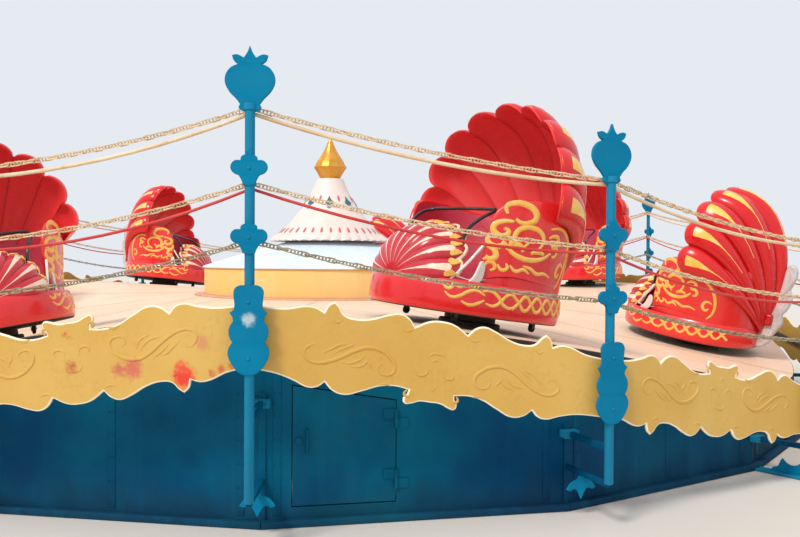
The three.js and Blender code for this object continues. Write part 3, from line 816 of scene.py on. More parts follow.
# a rope or hose is one long line that starts and ends at a post on the far side
def buildRope(name, s):
    path = hangingLine(s, 12)
    path.append(path[0] + Vector((0, 0, -0.0275)))
    curve = roundCurve(name, s["radius"], 2)
    addLine(curve, path)
    curve.materials.append(looks[s["look"]])
    obj = bpy.data.objects.new(name, curve)
    scene.collection.objects.link(obj)
    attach(obj, "structure")
    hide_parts(s["node"])


for name, s in lines.items():
    (buildChain if "pitch" in s else buildRope)(name, s)
print("chains and ropes ready")


# floor of the turning platform, with its dark rim, pads for the cars and stub arms
floorLook = {
    "profile": [(1.75, -0.06), (5.514, -0.06), (5.52, -0.17), (5.556, -0.17), (5.56, -0.166), (5.56, -0.005),
                (5.555, 0), (1.754, 0), (1.75, -0.004)],
    "carPad": [(0, -0.04), (0.24, -0.04), (0.24, 0.036), (0.231, 0.045), (0, 0.045)],
    "steps": 60, "trim": 0.0004, "walkedRadius": 5.548,
}


# where a car sits: the spot on the floor, the floor's normal, the way outwards and the angle
def carSeat(i):
    a = math.radians(ride["firstCar"] + i * 360 / ride["cars"])
    r, d = ride["carRadius"], 0.02
    at = polar(r, a, deckHeight(r, a))
    radial = polar(1, a, (deckHeight(r + d, a) - deckHeight(r - d, a)) / (2 * d)).normalized()
    e = d / r
    across = polar(1, a + math.pi / 2, (deckHeight(r, a + e) - deckHeight(r, a - e)) / (2 * d)).normalized()
    high = radial.cross(across).normalized()
    return at, high, radial, a


def buildFloor(s):
    sweep = math.radians(120)
    pad = turnedMesh(s["carPad"], 40)
    trim = s["trim"] / 5
    for q, part in enumerate(thirds):
        start = -math.pi / 2 - sweep / 2 + q * sweep
        bm = bmesh.new()
        mesh = turnedMesh(s["profile"], s["steps"], sweep=sweep - 2 * trim, start=start + trim, ring=True)
        for v in mesh.vertices:
            r, a = math.hypot(v.co.x, v.co.y), math.atan2(v.co.y, v.co.x)
            v.co.z += deckHeight(r, a)
        for face in mesh.polygons:
            walked = face.normal.z > 0.5 and math.hypot(*face.center[:2]) < s["walkedRadius"]
            face.material_index = 0 if walked else 1
        stamp(bm, mesh)
        for u in (0.25, 0.75):
            a = start + u * sweep
            stub = axes(polar(1, a, 0), polar(1, a + math.pi / 2, 0), up, polar(1.8, a, 1.0753))
            stamp(bm, boxMesh((0.07, 0.07, 0.11)), stub, 1)
        for i in range(ride["cars"]):
            at, high, radial, a = carSeat(i)
            if (a - start) % (2 * math.pi) < sweep:
                stamp(bm, pad, axes(radial, high.cross(radial), high, at), 1)
        finishPiece("deck" + part.capitalize(), bm, "platform",
                    [looks["deckCream"], looks["darkSteel"]], ["deck_" + part], 30)


buildFloor(floorLook)
print("platform floor ready")


# centre pavilion: drum, low roof, lobed canopy with painted motifs, faceted onion finial
pavilionLook = {
    "ring": [(1.615, 1.16), (1.738, 1.16), (1.742, 1.166), (1.742, 1.178), (1.738, 1.184), (1.615, 1.19)],
    "drum": [
        (0, 1.181), (1.6, 1.181), (1.628, 1.192), (1.63, 1.2), (1.63, 1.5), (1.622, 1.504), (1.622, 1.51),
        (1.63, 1.513), (1.63, 1.518), (0, 1.518)],
    "roof": [
        (0, 1.5185), (1.65, 1.5185), (1.655, 1.524), (1.652, 1.534), (1.35, 1.628), (1.05, 1.718),
        (0.76, 1.8), (0.56, 1.864), (0, 1.864)],
    "canopy": [
        (0.79, 1.872), (0.78, 1.893), (0.74, 1.925), (0.68, 1.972), (0.62, 2.028), (0.53, 2.118),
        (0.44, 2.228), (0.36, 2.335), (0.29, 2.448), (0.225, 2.575), (0.175, 2.698)],
    "lobes": 36, "lobe": 0.028, "motifs": 8, "motifStart": 0.1745, "lift": 0.004,
    "stroke": [(0, 0.05, 1), (0.011, 0.02), (0.014, -0.02), (0, -0.05)],
    "motifTop": [(0, 0.115, 1), (0.03, 0.045), (0.048, 0.03, 1), (0.05, 0.0), (0, -0.02)],
    "motifDrop": [(0, -0.2, 1), (0.02, -0.135), (0.044, -0.1, 1), (0.03, -0.108), (0, -0.112)],
    "finial": [
        (0, 2.7005), (0.128, 2.7005), (0.132, 2.712), (0.2, 2.83), (0.214, 2.842), (0.217, 2.852),
        (0.212, 2.86), (0.194, 2.892), (0.168, 2.945), (0.13, 3.0), (0.092, 3.06), (0.058, 3.13),
        (0.03, 3.2), (0.008, 3.257), (0, 3.26)],
    "finialRib": [
        (0.2145, 2.854), (0.192, 2.892), (0.166, 2.945), (0.128, 3.0), (0.09, 3.06), (0.056, 3.13),
        (0.029, 3.2)],
}


# place on the canopy's slope: how far round, and at which height
def canopySpot(s, a, z):
    pts = s["canopy"]
    for (r0, z0), (r1, z1) in zip(pts, pts[1:]):
        if z <= z1:
            break
    r = mix(r0, r1, (z - z0) / (z1 - z0)) + s["lift"]
    slope = Vector(((r1 - r0) * math.cos(a), (r1 - r0) * math.sin(a), z1 - z0)).normalized()
    side = polar(1, a + math.pi / 2, 0)
    return axes(side, slope, side.cross(slope), polar(r, a, z))


def oval(wide, tall, turn, count):
    return [(wide * math.cos(t * turn), -0.055 + tall * math.sin(t * turn)) for t in range(count)]


# the pleats of the canopy swell towards its lower edge
def canopyMesh(s):
    cone = turnedMesh([(0, 1.8655), (0.7, 1.8655)] + s["canopy"] + [(0, 2.6995)], s["lobes"] * 8)
    for v in cone.vertices:
        r, a = math.hypot(v.co.x, v.co.y), math.atan2(v.co.y, v.co.x)
        if r > 0.5 and v.co.z < 2.1:
            near = max(0, 1 - (v.co.z - 1.87) / 0.2) ** 2
            swell = (abs(math.cos(a * s["lobes"] / 2)) - 0.6) * s["lobe"] * near
            v.co.x *= 1 + swell / r
            v.co.y *= 1 + swell / r
            if v.co.z > 1.867:
                v.co.z += swell * 0.6
    return cone


def motifTurn(s, n):
    return 2 * math.pi * n / s["motifs"] - math.pi / 2 + s["motifStart"]


def buildCanopy(s):
    bm = bmesh.new()
    stamp(bm, canopyMesh(s))
    stroke = plateMesh(bothSides(s["stroke"]), 0.006, 0.001)
    for i in range(s["lobes"]):
        a = 2 * math.pi * (i + 0.5) / s["lobes"]
        stamp(bm, stroke, canopySpot(s, a, 2.005), 1)
    top = plateMesh(bothSides(s["motifTop"]), 0.006, 0.001)
    ring = plateMesh(oval(0.032, 0.036, 0.6283, 10), 0.006, 0.001)
    drop = plateMesh(bothSides(s["motifDrop"]), 0.006, 0.001)
    dot = plateMesh(oval(0.012, 0.018, 1.0472, 6), 0.008, 0.001)
    for i in range(s["motifs"]):
        place = canopySpot(s, motifTurn(s, i - 0.17), 2.36)
        for mesh, paint in ((top, 2), (ring, 3), (drop, 2), (dot, 2)):
            stamp(bm, mesh, place, paint)
        stamp(bm, stroke, canopySpot(s, motifTurn(s, i + 0.33), 2.43), 1)
    names = ("canopyWhite", "motifPink", "motifTeal", "motifBlue")
    finishPiece("canopyCone", bm, "structure", [looks[n] for n in names], ["canopy_cone"], 50)


# one bar laid round the axis, count times
def stampRound(bm, path, radius, count, start=0):
    bar = barMesh(path, radius, 1)
    for i in range(count):
        stamp(bm, bar, Matrix.Rotation(math.radians(i * 360 / count + start), 4, "Z"))


def buildPavilion(s):
    bm = bmesh.new()
    stamp(bm, turnedMesh(s["drum"], 96))
    finishPiece("drumBody", bm, "structure", [looks["drumYellow"]], ["drum"], 30)
    # the ring's pink stands for the deck cream in shade, a painted shade
    bm = bmesh.new()  # ring that covers the gap between the drum and the turning floor
    stamp(bm, turnedMesh(s["ring"], 96, ring=True))
    finishPiece("drumRing", bm, "structure", [looks["riserPinkShade"]], [], 30)
    bm = bmesh.new()
    stamp(bm, turnedMesh(s["roof"], 96))
    stampRound(bm, [(1.64, 0, 1.5375), (1.2, 0, 1.675), (0.79, 0, 1.793)], 0.004, 16, 9)
    finishPiece("drumRoof", bm, "structure", [looks["roofPale"]], ["drum_roof"], 24)
    buildCanopy(s)
    bm = bmesh.new()
    stamp(bm, turnedMesh(s["finial"], 12))
    stampRound(bm, [(r, 0, z) for r, z in s["finialRib"]], 0.005, 12)
    finishPiece("finialOnion", bm, "structure", [looks["finialGold"]], ["finial"], 25)


buildPavilion(pavilionLook)
print("pavilion ready")


# walls, door and the steel under the floor keep their CAD shapes; seams, rivets and the handle are added
wallLook = {
    "seams": (0.045, 0.5, 0.93), "doorBay": 0, "seamFoot": 0.055,
    "rivet": [(0, 0.004), (0.004, 0.0035), (0.006, 0.001), (0.006, -0.002), (0, -0.002)],
    "handle": (0.112, 0.52), "grip": [(0, -0.07, 0), (0, -0.07, 0.035), (0, 0.07, 0.035), (0, 0.07, 0)],
    "lock": [(0, 0.012), (0.02, 0.012), (0.024, 0.008), (0.024, -0.001), (0, -0.001)],
}


def wallSpot(k):
    base = math.floor(k + 1e-9)
    u = k - base
    a, b = (polar(ride["wallRadius"], angleOf(corner), 0) for corner in (base, base + 1))
    topEdge = ride["wallTop"] + mix(liftAt(base), liftAt(base + 1), u) * 0.97
    middle = angleOf(base + 0.5)
    return a.lerp(b, u), topEdge, polar(1, middle, 0), polar(1, middle + math.pi / 2, 0)


def buildWallTrim(s):
    rivet = turnedMesh(s["rivet"], 8)
    for part, first in thirds.items():
        bm = bmesh.new()
        for bay in range(first, first + 6):
            for u in s["seams"]:
                if bay == s["doorBay"] and u == 0.5:
                    continue  # the door is there
                spot, topEdge, out, along = wallSpot(bay + u)
                tall = topEdge - 0.06
                seam = spot + out * 0.0021 + up * (s["seamFoot"] + tall / 2)
                stamp(bm, boxMesh((0.05, tall - 0.02, 0.005), 0.0015), axes(along, up, out, seam))
                count = max(2, int(tall / 0.12))
                for i in range(count):
                    for dx in (-0.017, 0.017):
                        z = 0.09 + (tall - 0.08) * i / (count - 1)
                        stamp(bm, rivet, axes(along, up, out, spot + out * 0.0055 + along * dx + up * z))
        finishPiece("wallSeams" + part.capitalize(), bm, "structure", [looks["wallBlue"]])
    bm = bmesh.new()
    bay, height = s["handle"]
    spot, topEdge, out, along = wallSpot(bay)
    lock = spot + out * 0.001 + up * height
    stamp(bm, turnedMesh(s["lock"], 20), axes(along, up, out, lock))
    grip = spot + out * 0.0005 + along * 0.05 + up * height
    stamp(bm, bentBar(s["grip"], 0.007, 2, 5), axes(along, up, out, grip))
    finishPiece("doorHandle", bm, "door", [looks["doorBlue"]])


def dress(node, look):
    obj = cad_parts[node]
    obj.data.materials.clear()
    obj.data.materials.append(look)


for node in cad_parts:
    if node.startswith("wall_"):
        dress(node, looks["wallBlue"])
    elif node == "access_door":
        dress(node, looks["doorBlue"])
    elif node in ("base_frame", "turntable_frame"):
        dress(node, looks["darkSteel"])
buildWallTrim(wallLook)
print("walls ready")


# cars: a shell of nine lobes behind a tub with a scalloped nose, all made once and set in place seven times
carPaints = {
    "carRed": dict(
        paint=rgb(222, 26, 32), faded=rgb(230, 56, 50), patch=1.3, fade=0.7, rough=0.24, grime=0.18,
        coat=0.5, bump=0.08, dirt=rgb(120, 22, 22), chips=(16.0, 0.01, rgb(196, 90, 80), rgb(120, 70, 50))),
    "carInside": dict(
        paint=rgb(196, 60, 80), faded=rgb(206, 84, 104), patch=2.0, rough=0.45, grime=0.35,
        dirt=rgb(104, 36, 44)),
    "creamPaint": dict(
        paint=rgb(250, 226, 190), faded=rgb(246, 206, 170), patch=5.0, fade=0.7, dirt=rgb(190, 120, 90)),
    "keelSilver": dict(
        paint=rgb(220, 214, 212), faded=rgb(186, 178, 178), patch=9.0, rough=0.45, grime=0.5, metal=0.1,
        dirt=rgb(104, 96, 96), bump=0.3),
    "barBlack": dict(
        paint=rgb(26, 22, 26), faded=rgb(48, 42, 46), patch=6.0, fade=0.6, rough=0.25, coat=0.4),
    "leverWhite": dict(paint=rgb(238, 230, 220), faded=rgb(214, 200, 186), patch=5.0, fade=0.7, grime=0.4),
    "tyreBlack": dict(
        paint=rgb(34, 32, 32), faded=rgb(58, 54, 52), patch=8.0, rough=0.7, grime=0.6,
        dirt=rgb(110, 90, 76)),
}
looks.update({name: painted(name, s) for name, s in carPaints.items()})


# red paint with tapered strokes along the lobes, the creases between the lobes darkened as painted shade and
# the inside face made lighter as painted light, by the piece's UV map: u runs across the lobes, v along them
lobeAge = dict(dirt=rgb(120, 20, 20), patch=1.4, fade=0.7, grime=0.16, rough=0.22)


def lobePaint(name, s):
    look, tree, shader, place = newMaterial(name)
    age = agePaint(tree, place, {**s, **lobeAge})
    uv = addNode(tree, "ShaderNodeSeparateXYZ", {0: tree.nodes["Texture Coordinate"].outputs["UV"]}).outputs
    lane = minus(tree, mathNode(tree, "FRACT", times(tree, uv[0], float(s["lobes"]))), 0.5)
    wobble = times(tree, minus(tree, noise(tree, place, 9.0, 3.0), 0.5), 0.05)
    shift = plus(tree, minus(tree, lane, s["middle"]), wobble)
    broad = times(tree, rangeNode(tree, uv[1], s["fine"], s["broad"]), s["width"])
    inLane = mathNode(tree, "LESS_THAN", mathNode(tree, "ABSOLUTE", shift), plus(tree, broad, s["hair"]))
    begun = mathNode(tree, "LESS_THAN", uv[1], s["start"])
    after = mathNode(tree, "GREATER_THAN", uv[1], s["tail"])
    mask = times(tree, inLane, times(tree, begun, after))
    worn = rangeNode(tree, noise(tree, place, 14.0), 0.4, 0.7)
    stroke = mixColour(tree, worn, s["stroke"], s["strokeFaded"])
    # painted shade: the creases between the lobes are darkened towards a deep red
    creaseShade = rangeNode(tree, mathNode(tree, "ABSOLUTE", lane), 0.44, 0.5)
    # painted light: the inside face, where v is below 0, is turned to a lighter red
    insideLitMask = times(tree, mathNode(tree, "LESS_THAN", uv[1], 0.0), 0.8)
    colour = mixColour(tree, insideLitMask, age["Color"], s["insideLit"])
    colour = mixColour(tree, times(tree, creaseShade, 0.45), colour, rgb(128, 10, 16))
    colour = mixColour(tree, mask, colour, stroke)
    finishPaint(tree, shader, colour, age["Roughness"], age["Height"], 0.08, coat=0.12, coatRough=0.15)
    return look


# section carried along rows and columns: place(p, q) with p and q from 0 to 1, ends filled and seams welded
def wrapMesh(cols, rows, place, uv=None, paint=None):
    bm = bmesh.new()
    layer = bm.loops.layers.uv.new("UVMap")
    bmesh.ops.create_grid(bm, x_segments=cols, y_segments=rows, size=0.5)
    spots = {v: (v.co.x + 0.5, v.co.y + 0.5) for v in bm.verts}
    for face in bm.faces:
        for loop in face.loops:
            loop[layer].uv = uv(*spots[loop.vert]) if uv else spots[loop.vert]
        if paint:
            mid = [sum(spots[v][i] for v in face.verts) / len(face.verts) for i in (0, 1)]
            face.material_index = paint(*mid)
    for v, (p, q) in spots.items():
        v.co = place(p, q)
    bmesh.ops.remove_doubles(bm, verts=bm.verts, dist=3e-5)
    bmesh.ops.holes_fill(bm, edges=[e for e in bm.edges if e.is_boundary], sides=0)
    bmesh.ops.recalc_face_normals(bm, faces=bm.faces)
    return meshFrom(bm, "wrapped")


def smooth(a, b, x):
    t = min(1, max(0, (x - a) / (b - a)))
    return t * t * (3 - 2 * t)


# value at x in a table of (x, value), held beyond its ends
def readTable(table, x):
    for (x0, y0), (x1, y1) in zip(table, table[1:]):
        if (x - x0) * (x - x1) <= 0:
            return mix(y0, y1, (x - x0) / (x1 - x0))
    return table[0][1] if abs(x - table[0][0]) < abs(x - table[-1][0]) else table[-1][1]


# a lobed sheet: q runs out over one face (cap), round the rim and back over the other; which face is side
def sheetSpot(q, cap, root, rim):
    if q < cap:
        return mix(root, rim, q / cap), -1
    if q > 1 - cap:
        return mix(root, rim, (1 - q) / cap), 1
    turn = (q - cap) / (1 - 2 * cap) * math.pi
    return rim + (1 - rim) * math.sin(turn), -math.cos(turn)


def lobeAt(p, lobes, power):
    lane = (p * lobes) % 1 - 0.5
    return abs(math.cos(math.pi * lane)) ** power if p not in (0, 1) else 0


shellLook = {
    "lobes": 9, "fan": 1.75, "cols": 126, "rows": 44, "cap": 0.44, "rimAt": 0.93,
    "bulge": 0.066, "inner": 0.3, "scallop": 0.06, "thick": (0.012, 0.024), "foot": 0.05,
    "half": 0.765, "tall": 0.735, "centre": (0, 0.905), "rim": (-0.06, 0.08), "hinge": (-0.675, 0.2),
    "belly": 0.215, "cheek": 0.95, "bracket": (0.1, 0.17, 0.125), "bracketAt": (-0.717, 0, 0.395),
    # insideLit: a lighter red on the shell's inside face, painted light to offset its shade
    "paint": rgb(212, 14, 20), "faded": rgb(222, 38, 42), "insideLit": rgb(244, 70, 70),
    "stroke": rgb(246, 192, 80), "strokeFaded": rgb(250, 216, 130),
    "middle": 0.03, "width": 0.15, "fine": 0.66, "broad": 0.92, "start": 0.92, "hair": 0.014, "tail": 0.5,
}


def shellBase(t, u, s):
    a = t * s["fan"]
    flank = abs(math.sin(a))
    v = min(u, 1)
    rimY, rimZ = math.sin(a) * s["half"], s["centre"][1] + math.cos(a) * s["tall"]
    rimX = s["rim"][0] + s["rim"][1] * flank
    footX, footZ = s["hinge"]
    rise = math.sin(v * math.pi / 2) ** 1.25 + 0.035 * math.sin(math.pi * min(1, max(0, (v - 0.55) / 0.6)))
    belly = s["belly"] * math.sin(math.pi * v ** 1.15) * (1 - s["cheek"] * flank)
    x = footX + (rimX - footX) * (1 - math.cos(v * math.pi / 2)) - belly + max(0, u - 1) * 1.1
    return Vector((x, rimY * rise, footZ + (rimZ - footZ) * rise))


def shellSpot(p, q, s):
    t = (p - 0.5) * 2
    u, side = sheetSpot(q, s["cap"], s["foot"], s["rimAt"])
    lobe = lobeAt(p, s["lobes"], 0.6)
    reach = u * (1 + s["scallop"] * (lobe - 0.6) * smooth(0.5, 1, u))
    base = shellBase(t, reach, s)
    e, near = 0.004, max(reach, 0.02)
    du = shellBase(t, near + e, s) - shellBase(t, near - e, s)
    dt = shellBase(t + e, near, s) - shellBase(t - e, near, s)
    normal = du.cross(dt)
    normal = normal.normalized() if normal.length > 1e-9 else Vector((-1, 0, 0))
    if normal.dot(base - Vector((0.1, 0, 0.85))) < 0:
        normal = -normal
    half = mix(*s["thick"], smooth(0, 0.9, u)) * smooth(0, 0.1, u - s["foot"] + 0.012)
    half *= math.sqrt(max(0, 1 - max(0, (abs(t) - 0.97) / 0.03) ** 2))
    keep = mix(mix(s["inner"], 1, smooth(0.72, 1, u)), 1, (side + 1) / 2)
    swell = s["bulge"] * (lobe - 0.35) * smooth(0.02, 0.6, u) * keep
    return base + normal * (swell + side * half)


def shellUv(p, q):
    u = min(q, 1 - q) / shellLook["cap"] * shellLook["rimAt"]
    return (p, min(u, 1) if q > 0.5 else -min(u, 1))


def makeShell(s):
    bm = bmesh.new()
    stamp(bm, wrapMesh(s["cols"], s["rows"], lambda p, q: shellSpot(p, q, s), shellUv))
    stamp(bm, boxMesh(s["bracket"], 0.02), Matrix.Translation(s["bracketAt"]))
    return bm


# the tub's wall: q goes up the outside, over the top (topFrom to topTo) and down the inside to footFrom
tubLook = {
    "centre": -0.02, "long": 0.62, "wide": 0.62, "square": 2.1, "front": 50, "thick": 0.036,
    "low": 0.17, "flare": 0.09, "cols": 124, "rows": 26, "topFrom": 0.42, "topTo": 0.58,
    "footFrom": 0.92, "insideTo": 0.93,
    "top": [
        (0.4, 0.27), (0.392, 0.34), (0.382, 0.45), (0.372, 0.62), (0.36, 0.75), (0.33, 0.825), (0.28, 0.88),
        (0.2, 0.915), (0.06, 0.935), (-0.12, 0.94), (-0.3, 0.925), (-0.48, 0.9), (-0.63, 0.88)],
    "seat": [(0, 0.19), (0.925, 0.19), (0.925, 0.43), (0.905, 0.462), (0.86, 0.475), (0, 0.475)],
    "seatFront": -0.08, "seatSlant": 0.12,
}


# a rounded outline seen from above; the smaller the power, the squarer
def roundedPlan(turn, power, long, wide, centre):
    c, n = math.cos(turn), math.sin(turn)
    x = math.copysign(abs(c) ** power, c) * long
    y = math.copysign(abs(n) ** power, n) * wide
    return Vector((centre + x, y, 0))


def tubTurn(p, s):
    near = p * 2 if p < 0.5 else (1 - p) * 2
    turn = mix(math.radians(s["front"]), math.pi, near ** 1.25)
    return turn if p < 0.5 else 2 * math.pi - turn


def tubPlan(turn, s, inwards=0.0):
    return roundedPlan(turn, 2 / s["square"], s["long"] - inwards, s["wide"] - inwards, s["centre"])


def tubFlare(spot, z, s):
    return s["flare"] * smooth(0.25, 0.85, z) * smooth(0.35, -0.2, spot.x) * min(1, abs(spot.y) / 0.3)


def tubSpot(p, q, s):
    turn = tubTurn(p, s)
    high = readTable(s["top"], tubPlan(turn, s).x)
    half = s["thick"] / 2
    if q < s["topFrom"]:
        z, cut = mix(s["low"], high - half, q / s["topFrom"]), 0
    elif q < s["topTo"]:
        a = (q - s["topFrom"]) / 0.16 * math.pi
        z, cut = high - half + half * math.sin(a), half * (1 - math.cos(a))
    elif q < s["footFrom"]:
        z, cut = mix(high - half, s["low"], (q - s["topTo"]) / 0.34), 2 * half
    else:
        z, cut = s["low"], 2 * half * (1 - (q - s["footFrom"]) / 0.08)
    spot = tubPlan(turn, s, cut)
    return Vector((spot.x, spot.y + math.copysign(tubFlare(spot, z, s), spot.y), z))


skirtLook = {
    "centre": 0.09, "back": (0.725, 0.86), "front": (0.735, 0.94), "wide": 0.65, "sides": 96,
    "profile": [
        (0, 0.062), (0.93, 0.062), (0.985, 0.056), (1.0, 0.064), (1.012, 0.09), (1.018, 0.15), (1.012, 0.23),
        (1.0, 0.275), (0.98, 0.292), (0.955, 0.29), (0.945, 0.275), (0.935, 0.2), (0, 0.19)],
}


def skirtPlan(turn, s):
    long, power = s["front"] if math.cos(turn) > 0 else s["back"]
    return roundedPlan(turn, power, long, s["wide"], s["centre"])


def shaped(mesh, plan, centre):
    for v in mesh.vertices:
        r, a = math.hypot(v.co.x, v.co.y), math.atan2(v.co.y, v.co.x)
        flat = (plan(a) - Vector((centre, 0, 0))) * r
        v.co.x, v.co.y = centre + flat.x, flat.y
    return mesh


# the hood over the nose, made like the shell
noseLook = {
    "lobes": 9, "cols": 108, "rows": 36, "cap": 0.46, "rimAt": 0.96, "tip": (0.795, 0, 0.275),
    "edge": (0.39, 0.2), "half": 0.425, "low": 0.27, "high": 0.41, "bulge": 0.032, "thick": 0.026,
    # insideLit: a lighter red on the hood's inside face, painted light
    "paint": rgb(196, 34, 46), "faded": rgb(200, 62, 78), "insideLit": rgb(200, 62, 78),
    "stroke": rgb(250, 222, 196), "strokeFaded": rgb(248, 196, 176),
    "middle": 0.0, "width": 0.16, "fine": 0.1, "broad": 1.0, "start": 0.86, "hair": 0.03, "tail": 0.1,
}


def noseSpot(p, q, s):
    turn = (p - 0.5) * math.pi
    r, side = sheetSpot(q, s["cap"], 0, s["rimAt"])
    lobe = lobeAt(p, s["lobes"], 0.7)
    r *= 1 + 0.07 * (lobe - 0.5) * smooth(0.5, 1, r)
    c, n = max(0, math.cos(turn)) ** 0.85, math.sin(turn)
    tip = Vector(s["tip"])
    edge = Vector((s["edge"][0] + s["edge"][1] * (1 - c), s["half"] * n, s["low"] + s["high"] * c))
    bend = Vector((0.81, (s["half"] - 0.02) * n, s["low"] + 0.01 + (s["high"] - 0.03) * c))
    spot = tip * (1 - r) ** 2 + bend * 2 * r * (1 - r) + edge * r * r
    normal = Vector((0.6 * (1 - r), n, c + 0.05)).normalized()
    swell = s["bulge"] * (lobe - 0.3) * smooth(0.05, 0.8, r)
    half = s["thick"] / 2 * smooth(0, 0.2, r)
    return spot + normal * (swell - side * half)


def noseUv(p, q):
    r = min(q, 1 - q) / noseLook["cap"] * noseLook["rimAt"]
    return (p, r if q < 0.5 else -r)


# gold scrolls: x is the way back from the tub's front edge or round the skirt from the nose, y the height
scrollLook = {
    "front": [
        [(0.14, 0.805), (0.125, 0.85), (0.175, 0.885), (0.26, 0.885), (0.325, 0.85), (0.34, 0.8),
         (0.305, 0.765), (0.24, 0.755), (0.2, 0.775)],
        [(0.19, 0.755), (0.11, 0.745), (0.055, 0.7), (0.075, 0.655), (0.14, 0.645), (0.165, 0.68),
         (0.13, 0.7)], [(0.04, 0.65), (0.028, 0.6), (0.065, 0.565), (0.13, 0.575), (0.145, 0.61)],
        [(0.03, 0.56), (0.085, 0.535), (0.1, 0.495), (0.06, 0.47), (0.03, 0.49)],
        [(0.175, 0.645), (0.2, 0.6), (0.17, 0.55)]],
    "ring": [
        [(0.32, 0.62), (0.275, 0.585), (0.225, 0.61), (0.215, 0.67), (0.26, 0.72), (0.34, 0.73),
         (0.41, 0.695), (0.43, 0.635), (0.4, 0.58)],
        [(0.15, 0.6), (0.2, 0.545), (0.28, 0.51), (0.37, 0.505), (0.46, 0.53), (0.52, 0.575)],
        [(0.21, 0.575), (0.25, 0.6), (0.29, 0.555)], [(0.35, 0.55), (0.4, 0.57), (0.46, 0.56)],
        [(0.47, 0.68), (0.51, 0.7), (0.56, 0.69), (0.555, 0.65), (0.52, 0.635), (0.57, 0.615), (0.58, 0.57),
         (0.54, 0.55)]],
    "arc": [
        [(0.47, 0.745), (0.56, 0.76), (0.66, 0.725), (0.73, 0.65), (0.765, 0.56), (0.77, 0.46),
         (0.745, 0.38), (0.7, 0.33)],
        [(0.74, 0.5), (0.69, 0.515), (0.655, 0.485), (0.655, 0.44), (0.685, 0.42), (0.71, 0.445)]],
    "small": [
        [(0.03, 0.41), (0.05, 0.445), (0.09, 0.445), (0.105, 0.41), (0.075, 0.39)],
        [(0.12, 0.44), (0.155, 0.405), (0.195, 0.425), (0.18, 0.455)],
        [(0.21, 0.445), (0.26, 0.41), (0.32, 0.43), (0.37, 0.405)],
        [(0.31, 0.455), (0.37, 0.445), (0.44, 0.415), (0.51, 0.425), (0.58, 0.405)],
        [(0.015, 0.46), (0.05, 0.475), (0.09, 0.47)]],
    "ridge": [
        [(0.015, 0.315), (0.08, 0.345), (0.2, 0.372), (0.35, 0.372), (0.5, 0.358), (0.7, 0.35),
         (0.9, 0.35)]],
    "nose": [
        [(0.48, 0.25), (0.52, 0.225), (0.55, 0.245), (0.535, 0.27)],
        [(0.5, 0.2), (0.55, 0.17), (0.61, 0.185), (0.66, 0.22), (0.72, 0.235), (0.78, 0.21)],
        [(0.56, 0.265), (0.6, 0.245), (0.63, 0.26)],
        [(0.62, 0.15), (0.68, 0.13), (0.74, 0.15), (0.78, 0.175)],
        [(0.76, 0.235), (0.82, 0.245), (0.88, 0.215), (0.93, 0.16), (0.99, 0.145), (1.04, 0.175)],
        [(0.79, 0.155), (0.85, 0.145), (0.9, 0.175), (0.95, 0.23), (1.01, 0.24)],
        [(0.66, 0.26), (0.7, 0.25), (0.74, 0.265)]],
    "twist": (1.0, 1.72, 3, 0.05, 0.19),
}


# arc length round a plan, for laying strokes on the wall or the skirt
def planRuler(plan, start, end, steps=160):
    spots = [plan(mix(start, end, i / steps)) for i in range(steps + 1)]
    lengths = [0.0]
    for a, b in zip(spots, spots[1:]):
        lengths.append(lengths[-1] + (b - a).length)
    return spots, lengths


def layOn(mesh, ruler, mirrorSide, flare=None):
    spots, lengths = ruler
    for v in mesh.vertices:
        s, z, h = v.co
        i = 0
        while i < len(lengths) - 2 and lengths[i + 1] < s:
            i += 1
        step = spots[i + 1] - spots[i]
        u = (s - lengths[i]) / max(step.length, 1e-6)
        spot = spots[i] + step * u
        out = Vector((step.y, -step.x, 0)).normalized()
        if out.dot(spot) < 0:
            out = -out
        spot = spot + out * h + (flare(spot, out, z) if flare else Vector())
        v.co = (spot.x, spot.y * mirrorSide, z)
    return mesh


def wallFlare(spot, out, z):
    return Vector((0, tubFlare(spot, z, tubLook), 0))


def skirtFlare(spot, out, z):
    k = readTable([(0.064, 1.0), (0.09, 1.012), (0.15, 1.018), (0.23, 1.012), (0.275, 1.0)], z)
    return out * (k - 1) * 0.66


def makeTrim(s):
    gold, red = bmesh.new(), bmesh.new()
    tub = planRuler(lambda a: tubPlan(a, tubLook), math.radians(tubLook["front"]), math.pi)
    skirt = planRuler(lambda a: skirtPlan(a, skirtLook), 0.0, math.pi)
    begin, end, waves, height, middle = s["twist"]
    steps = waves * 4
    twist = []
    for sign in (1, -1):
        twist.append([(mix(begin, end, i / steps), middle + sign * height * math.cos(i * math.pi / 2))
                      for i in range(steps + 1)])
    for side in (1, -1):
        for key, width in (("front", 0.046), ("ring", 0.038), ("arc", 0.032), ("small", 0.028)):
            stamp(gold, layOn(strokeMesh(s[key], width, 0.4, 4, 0.4), tub, side, wallFlare))
        stamp(red, layOn(strokeMesh(s["ridge"], 0.04, 0.7, 6, 0.2), tub, side))
        stamp(gold, layOn(strokeMesh(s["nose"], 0.026, 0.5, 4, 0.4), skirt, side, skirtFlare))
        stamp(gold, layOn(strokeMesh(twist, 0.026, 0.5, 4, 0.7, blunt=(0, 1)), skirt, side, skirtFlare))
    for bm in (gold, red):
        bmesh.ops.recalc_face_normals(bm, faces=bm.faces)
    return gold, red


